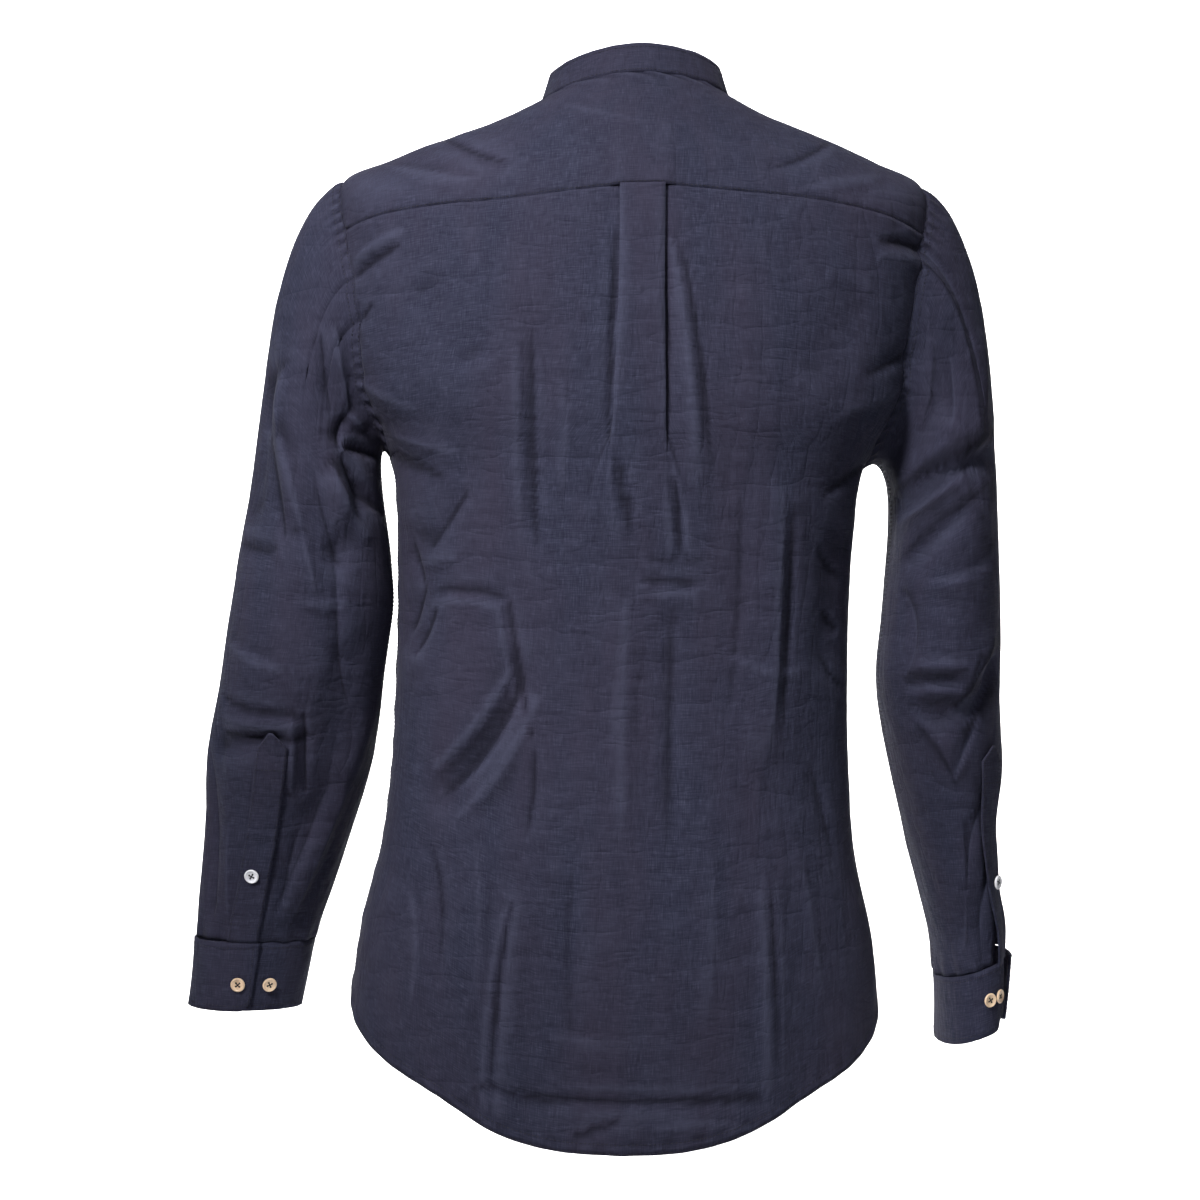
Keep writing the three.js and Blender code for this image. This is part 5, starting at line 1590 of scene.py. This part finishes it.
class SHIRT_OT_cuffs(bpy.types.Operator):
    """Makes the cuffs and the sleeve plackets with their stitches"""

    bl_idname = "shirt.cuffs"
    bl_label = "Cuffs and plackets"

    def execute(self, context):
        sizes = context.scene.shirt_sizes
        band = sizes.band_thickness / MM / 2
        flat_half = sizes.cloth_thickness / MM / 2 + 0.15
        lines = []
        for side, cuff_rows, cuff, lift, arm_rows, slit, stand in (
            ("left", CUFF_LEFT, LEFT_CUFF, left_cuff_lift, ARM_LEFT, LEFT_SLIT, 0),
            ("right", CUFF_RIGHT, RIGHT_CUFF, right_cuff_lift, ARM_RIGHT, RIGHT_SLIT, RIGHT_PLACKET_STAND),
        ):
            mirror = side == "right"
            flip = MIRROR if mirror else 1
            points, ways = (made * flip for made in cuff_grid(cuff_rows, cuff, lift))
            piece = cloth_piece(f"cuff_{side}_cloth", points, sizes.band_thickness, flipped=not mirror)
            dress(piece, f"cuff_{side}")
            for edge in ("bottom", "top", "left", "right"):
                lines.append(stitch_row(points, ways, edge, CUFF_ROW, band))
            points, ways = (made * flip for made in placket_grid(arm_rows, slit, stand))
            thick = sizes.cloth_thickness + 0.0003
            piece = cloth_piece(f"placket_{side}_cloth", points, thick, flipped=not mirror)
            dress(piece, f"sleeve_placket_{side}")
            for edge in ("left", "right"):
                lines.append(stitch_row(points, ways, edge, PLACKET_ROW, flat_half))
            for row in (1, 9):
                lines.append((points[row], ways[row], flat_half))
        stitch_piece("stitches_cuffs", lines)
        return {"FINISHED"}


class SHIRT_OT_collar(bpy.types.Operator):
    """Makes the standing collar band with its stitches"""

    bl_idname = "shirt.collar"
    bl_label = "Collar band"

    def execute(self, context):
        sizes = context.scene.shirt_sizes
        points, ways = collar_grid()
        piece = cloth_piece("collar_cloth", points, sizes.band_thickness)
        dress(piece, "collar_band")
        band = sizes.band_thickness / MM / 2
        lines = [stitch_row(points, ways, edge, distance, band) for edge, distance in COLLAR_ROWS]
        stitch_piece("stitches_collar", lines)
        return {"FINISHED"}


def four_bars(bm, away, radius, middle, depth, segments):
    """Upright round bars where a button has its holes."""
    for sx in (-1, 1):
        for sy in (-1, 1):
            bmesh.ops.create_cone(
                bm,
                cap_ends=True,
                segments=segments,
                radius1=radius,
                radius2=radius,
                depth=depth,
                matrix=Matrix.Translation((away * sx, away * sy, middle)),
            )


def button_mesh(name):
    """A four-hole button with a sunken middle and crossed thread, its back at the origin."""
    bm = bmesh.new()
    line = [bm.verts.new((radius, 0, height)) for radius, height in BUTTON_PROFILE]
    edges = [bm.edges.new(pair) for pair in zip(line, line[1:])]
    bmesh.ops.spin(
        bm,
        geom=line + edges,
        axis=(0, 0, 1),
        cent=(0, 0, 0),
        angle=2 * math.pi,
        steps=BUTTON_STEPS,
        use_merge=True,
        use_duplicate=False,
    )
    bmesh.ops.remove_doubles(bm, verts=bm.verts, dist=1e-6)
    bmesh.ops.recalc_face_normals(bm, faces=bm.faces)
    cutter = bmesh.new()
    four_bars(cutter, **BUTTON_HOLES)
    body = add_mesh("button_blank", bm)
    tool = add_mesh("button_holes", cutter)
    difference = body.modifiers.new("Holes", "BOOLEAN")
    difference.object = tool
    difference.operation = "DIFFERENCE"
    difference.solver = "EXACT"
    bpy.context.view_layer.update()
    cut = bpy.data.meshes.new_from_object(body.evaluated_get(bpy.context.evaluated_depsgraph_get()))
    bpy.data.objects.remove(body)
    bpy.data.objects.remove(tool)
    bm = bmesh.new()
    bm.from_mesh(cut)
    before = set(bm.faces)
    for turn in BUTTON_THREAD_TURNS:
        for shift in BUTTON_THREAD_SHIFTS:
            place = Matrix.Translation((0, shift, BUTTON_THREAD_HEIGHT))
            matrix = Matrix.Rotation(turn * DEG, 4, "Z") @ place @ Matrix.Diagonal(BUTTON_THREAD_SIZE)
            bmesh.ops.create_icosphere(bm, subdivisions=2, radius=1, matrix=matrix)
    four_bars(bm, **BUTTON_THREAD_ENDS)
    for face in bm.faces:
        face.smooth = True
        if face not in before:
            face.material_index = 1
    scale = bpy.context.scene.shirt_sizes.button_radius / BUTTON_DRAWN_RADIUS
    bmesh.ops.scale(bm, vec=(scale, scale, scale), verts=bm.verts)
    bm.to_mesh(cut)
    bm.free()
    cut.name = name
    for edge in cut.edges:
        edge.use_edge_sharp = False
    cut.set_sharp_from_angle(angle=35 * DEG)
    return cut


def front_button_places():
    levels = np.linspace(SIDE_HEM_LEVEL, NECK_LEVEL, 2000)
    heights = body_point(np.full(levels.shape, -math.pi / 2), levels)[:, 2]
    for k in range(FRONT_BUTTONS):
        height = FRONT_BUTTON_FIRST - k * FRONT_BUTTON_STEP
        level = np.array([np.interp(height, heights, levels)])
        turn = np.array([-math.pi / 2])
        p, n = body_vertex(turn, level, LAYER)
        yield f"front_button_{k + 1}", p[0], n[0], WALL / 2


def collar_button_place():
    points, ways = collar_grid()
    low, high = points[3, LAP_MIDDLE_COLUMN], points[6, LAP_MIDDLE_COLUMN]
    return "collar_button", low * 0.45 + high * 0.55, ways[3, LAP_MIDDLE_COLUMN], BAND_WALL / 2


class SHIRT_OT_buttons(bpy.types.Operator):
    """Makes every button with its holes and its crossed thread"""

    bl_idname = "shirt.buttons"
    bl_label = "Buttons"

    def execute(self, context):
        colours = context.scene.shirt_colours
        horn = button_material("horn_button", colours.horn, (0.36, 0.22, 0.13), 160.0)
        pearl = button_material("pearl_button", colours.pearl, (0.42, 0.44, 0.5), 120.0)
        thread = thread_material()
        blank = button_mesh("button")
        places = [(*place, pearl, "pearl_buttons") for place in front_button_places()]
        places.append((*collar_button_place(), pearl, "pearl_buttons"))
        for name, part, down, turn, lift in ARM_BUTTONS:
            right = "right" in name
            if part == "cuff":
                rows = CUFF_RIGHT if right else CUFF_LEFT
                half, finish = BAND_WALL / 2, (horn, "cuff_buttons")
            else:
                rows = ARM_RIGHT if right else ARM_LEFT
                half, finish = PLACKET_WALL / 2, (pearl, "pearl_buttons")
            p, n = on_arm(rows, np.array([turn * DEG]), np.array([float(down)]), np.array([lift]))
            flip = MIRROR if right else 1
            places.append((name, p[0] * flip, n[0] * flip, half, *finish))
        for k, (name, p, n, half, material, slot) in enumerate(places):
            mesh = blank.copy()
            mesh.name = name
            normal = Vector(n).normalized()
            turn = normal.to_track_quat("Z", "Y").to_matrix().to_4x4()
            spin = Matrix.Rotation((17 * k % 45 - 20) * DEG, 4, "Z")
            mesh.transform(Matrix.Translation((Vector(p) + normal * half) * MM) @ turn @ spin)
            mesh.materials.append(material)
            mesh.materials.append(thread)
            piece = bpy.data.objects.new(f"{name}_made", mesh)
            context.scene.collection.objects.link(piece)
            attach(piece, "root")
            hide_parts(name)
        bpy.data.meshes.remove(blank)
        return {"FINISHED"}


def floor_mesh():
    """A floor that bends up into a backdrop."""
    bend, flat = FLOOR["bend"], FLOOR["flat"]
    bm = bmesh.new()
    bmesh.ops.create_grid(bm, x_segments=1, y_segments=FLOOR["steps"], size=1)
    for vert in bm.verts:
        run = (1 - vert.co.y) / 2 * FLOOR["length"]
        angle = min(max((run - flat) / bend, 0), math.pi / 2)
        y = FLOOR["near"] - min(run, flat) - bend * math.sin(angle)
        z = FLOOR["level"] + bend * (1 - math.cos(angle)) + max(run - flat - bend * math.pi / 2, 0)
        vert.co = Vector((vert.co.x * FLOOR["half_width"], y, z))
    bmesh.ops.recalc_face_normals(bm, faces=bm.faces)
    for face in bm.faces:
        face.smooth = True
    return add_mesh("floor", bm)


def area_light(name, place, target, size, power, colour, spread):
    data = bpy.data.lights.new(name, "AREA")
    data.shape = "DISK"
    data.size = size
    data.spread = spread * DEG
    data.energy = power
    data.color = colour
    made = bpy.data.objects.new(name, data)
    bpy.context.scene.collection.objects.link(made)
    made.location = place
    made.rotation_euler = (Vector(target) - Vector(place)).to_track_quat("-Z", "Y").to_euler()


class SHIRT_OT_stage(bpy.types.Operator):
    """Makes the pale floor, the soft studio light and the camera"""

    bl_idname = "shirt.stage"
    bl_label = "Stage"

    def execute(self, context):
        floor = floor_mesh()
        s = Shader("studio_floor")
        dust = s.ranged(s.noise(s.place(), 3.0), 0.3, 0.7, 0.0, 1.0)
        base = s.mix(dust, rgba(context.scene.shirt_colours.floor), (0.9, 0.9, 0.9, 1))
        floor.data.materials.append(s.put(Base_Color=base, Roughness=0.9))
        floor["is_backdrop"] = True
        for light in LIGHTS:
            area_light(*light)
        context.scene.view_settings.view_transform = "Standard"
        world = bpy.data.worlds.new("studio")
        world.use_nodes = True
        light = world.node_tree.nodes["Background"].inputs
        light["Color"].default_value = (1, 1, 1, 1)
        light["Strength"].default_value = WORLD_STRENGTH
        context.scene.world = world
        data = bpy.data.cameras.new("camera")
        data.lens = CAMERA["lens"]
        data.sensor_width = 36
        data.shift_x = CAMERA["shift"]
        camera = bpy.data.objects.new("camera", data)
        context.scene.collection.objects.link(camera)
        turn, away = CAMERA["turn"], CAMERA["distance"]
        camera.location = (away * math.sin(turn), away * math.cos(turn), CAMERA["height"])
        camera.rotation_euler = (
            Matrix.Rotation(math.pi - turn, 4, "Z")
            @ Matrix.Rotation(math.pi / 2, 4, "X")
            @ Matrix.Rotation(CAMERA_ROLL, 4, "Z")
        ).to_euler()
        context.scene.camera = camera
        return {"FINISHED"}


class SHIRT_PT_panel(bpy.types.Panel):
    """Sizes, colours and pieces of the shirt"""

    bl_idname = "SHIRT_PT_panel"
    bl_label = "Shirt"
    bl_space_type = "VIEW_3D"
    bl_region_type = "UI"
    bl_category = "Shirt"

    def draw(self, context):
        for group in (context.scene.shirt_sizes, context.scene.shirt_colours):
            box = self.layout.box()
            for name in group.__annotations__:
                box.prop(group, name)
        for operator in OPERATORS:
            self.layout.operator(operator.bl_idname)


OPERATORS = (
    SHIRT_OT_back,
    SHIRT_OT_yoke,
    SHIRT_OT_fronts,
    SHIRT_OT_sleeves,
    SHIRT_OT_cuffs,
    SHIRT_OT_collar,
    SHIRT_OT_buttons,
    SHIRT_OT_stage,
)
CLASSES = (ShirtSizes, ShirtColours, *OPERATORS, SHIRT_PT_panel)


def register():
    for cls in CLASSES:
        bpy.utils.register_class(cls)
    bpy.types.Scene.shirt_sizes = bpy.props.PointerProperty(type=ShirtSizes)
    bpy.types.Scene.shirt_colours = bpy.props.PointerProperty(type=ShirtColours)


def unregister():
    del bpy.types.Scene.shirt_colours
    del bpy.types.Scene.shirt_sizes
    for cls in reversed(CLASSES):
        bpy.utils.unregister_class(cls)


def corners(box):
    return [[float(value) for value in corner] for corner in box]


def main():
    register()
    bpy.ops.shirt.back()
    bpy.ops.shirt.yoke()
    bpy.ops.shirt.fronts()
    bpy.ops.shirt.sleeves()
    bpy.ops.shirt.cuffs()
    bpy.ops.shirt.collar()
    bpy.ops.shirt.buttons()
    bpy.ops.shirt.stage()
    bpy.context.view_layer.update()
    {"loaded": corners(LOADED_BOX), "dressed": corners(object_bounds())}


if __name__ == "__main__":
    main()
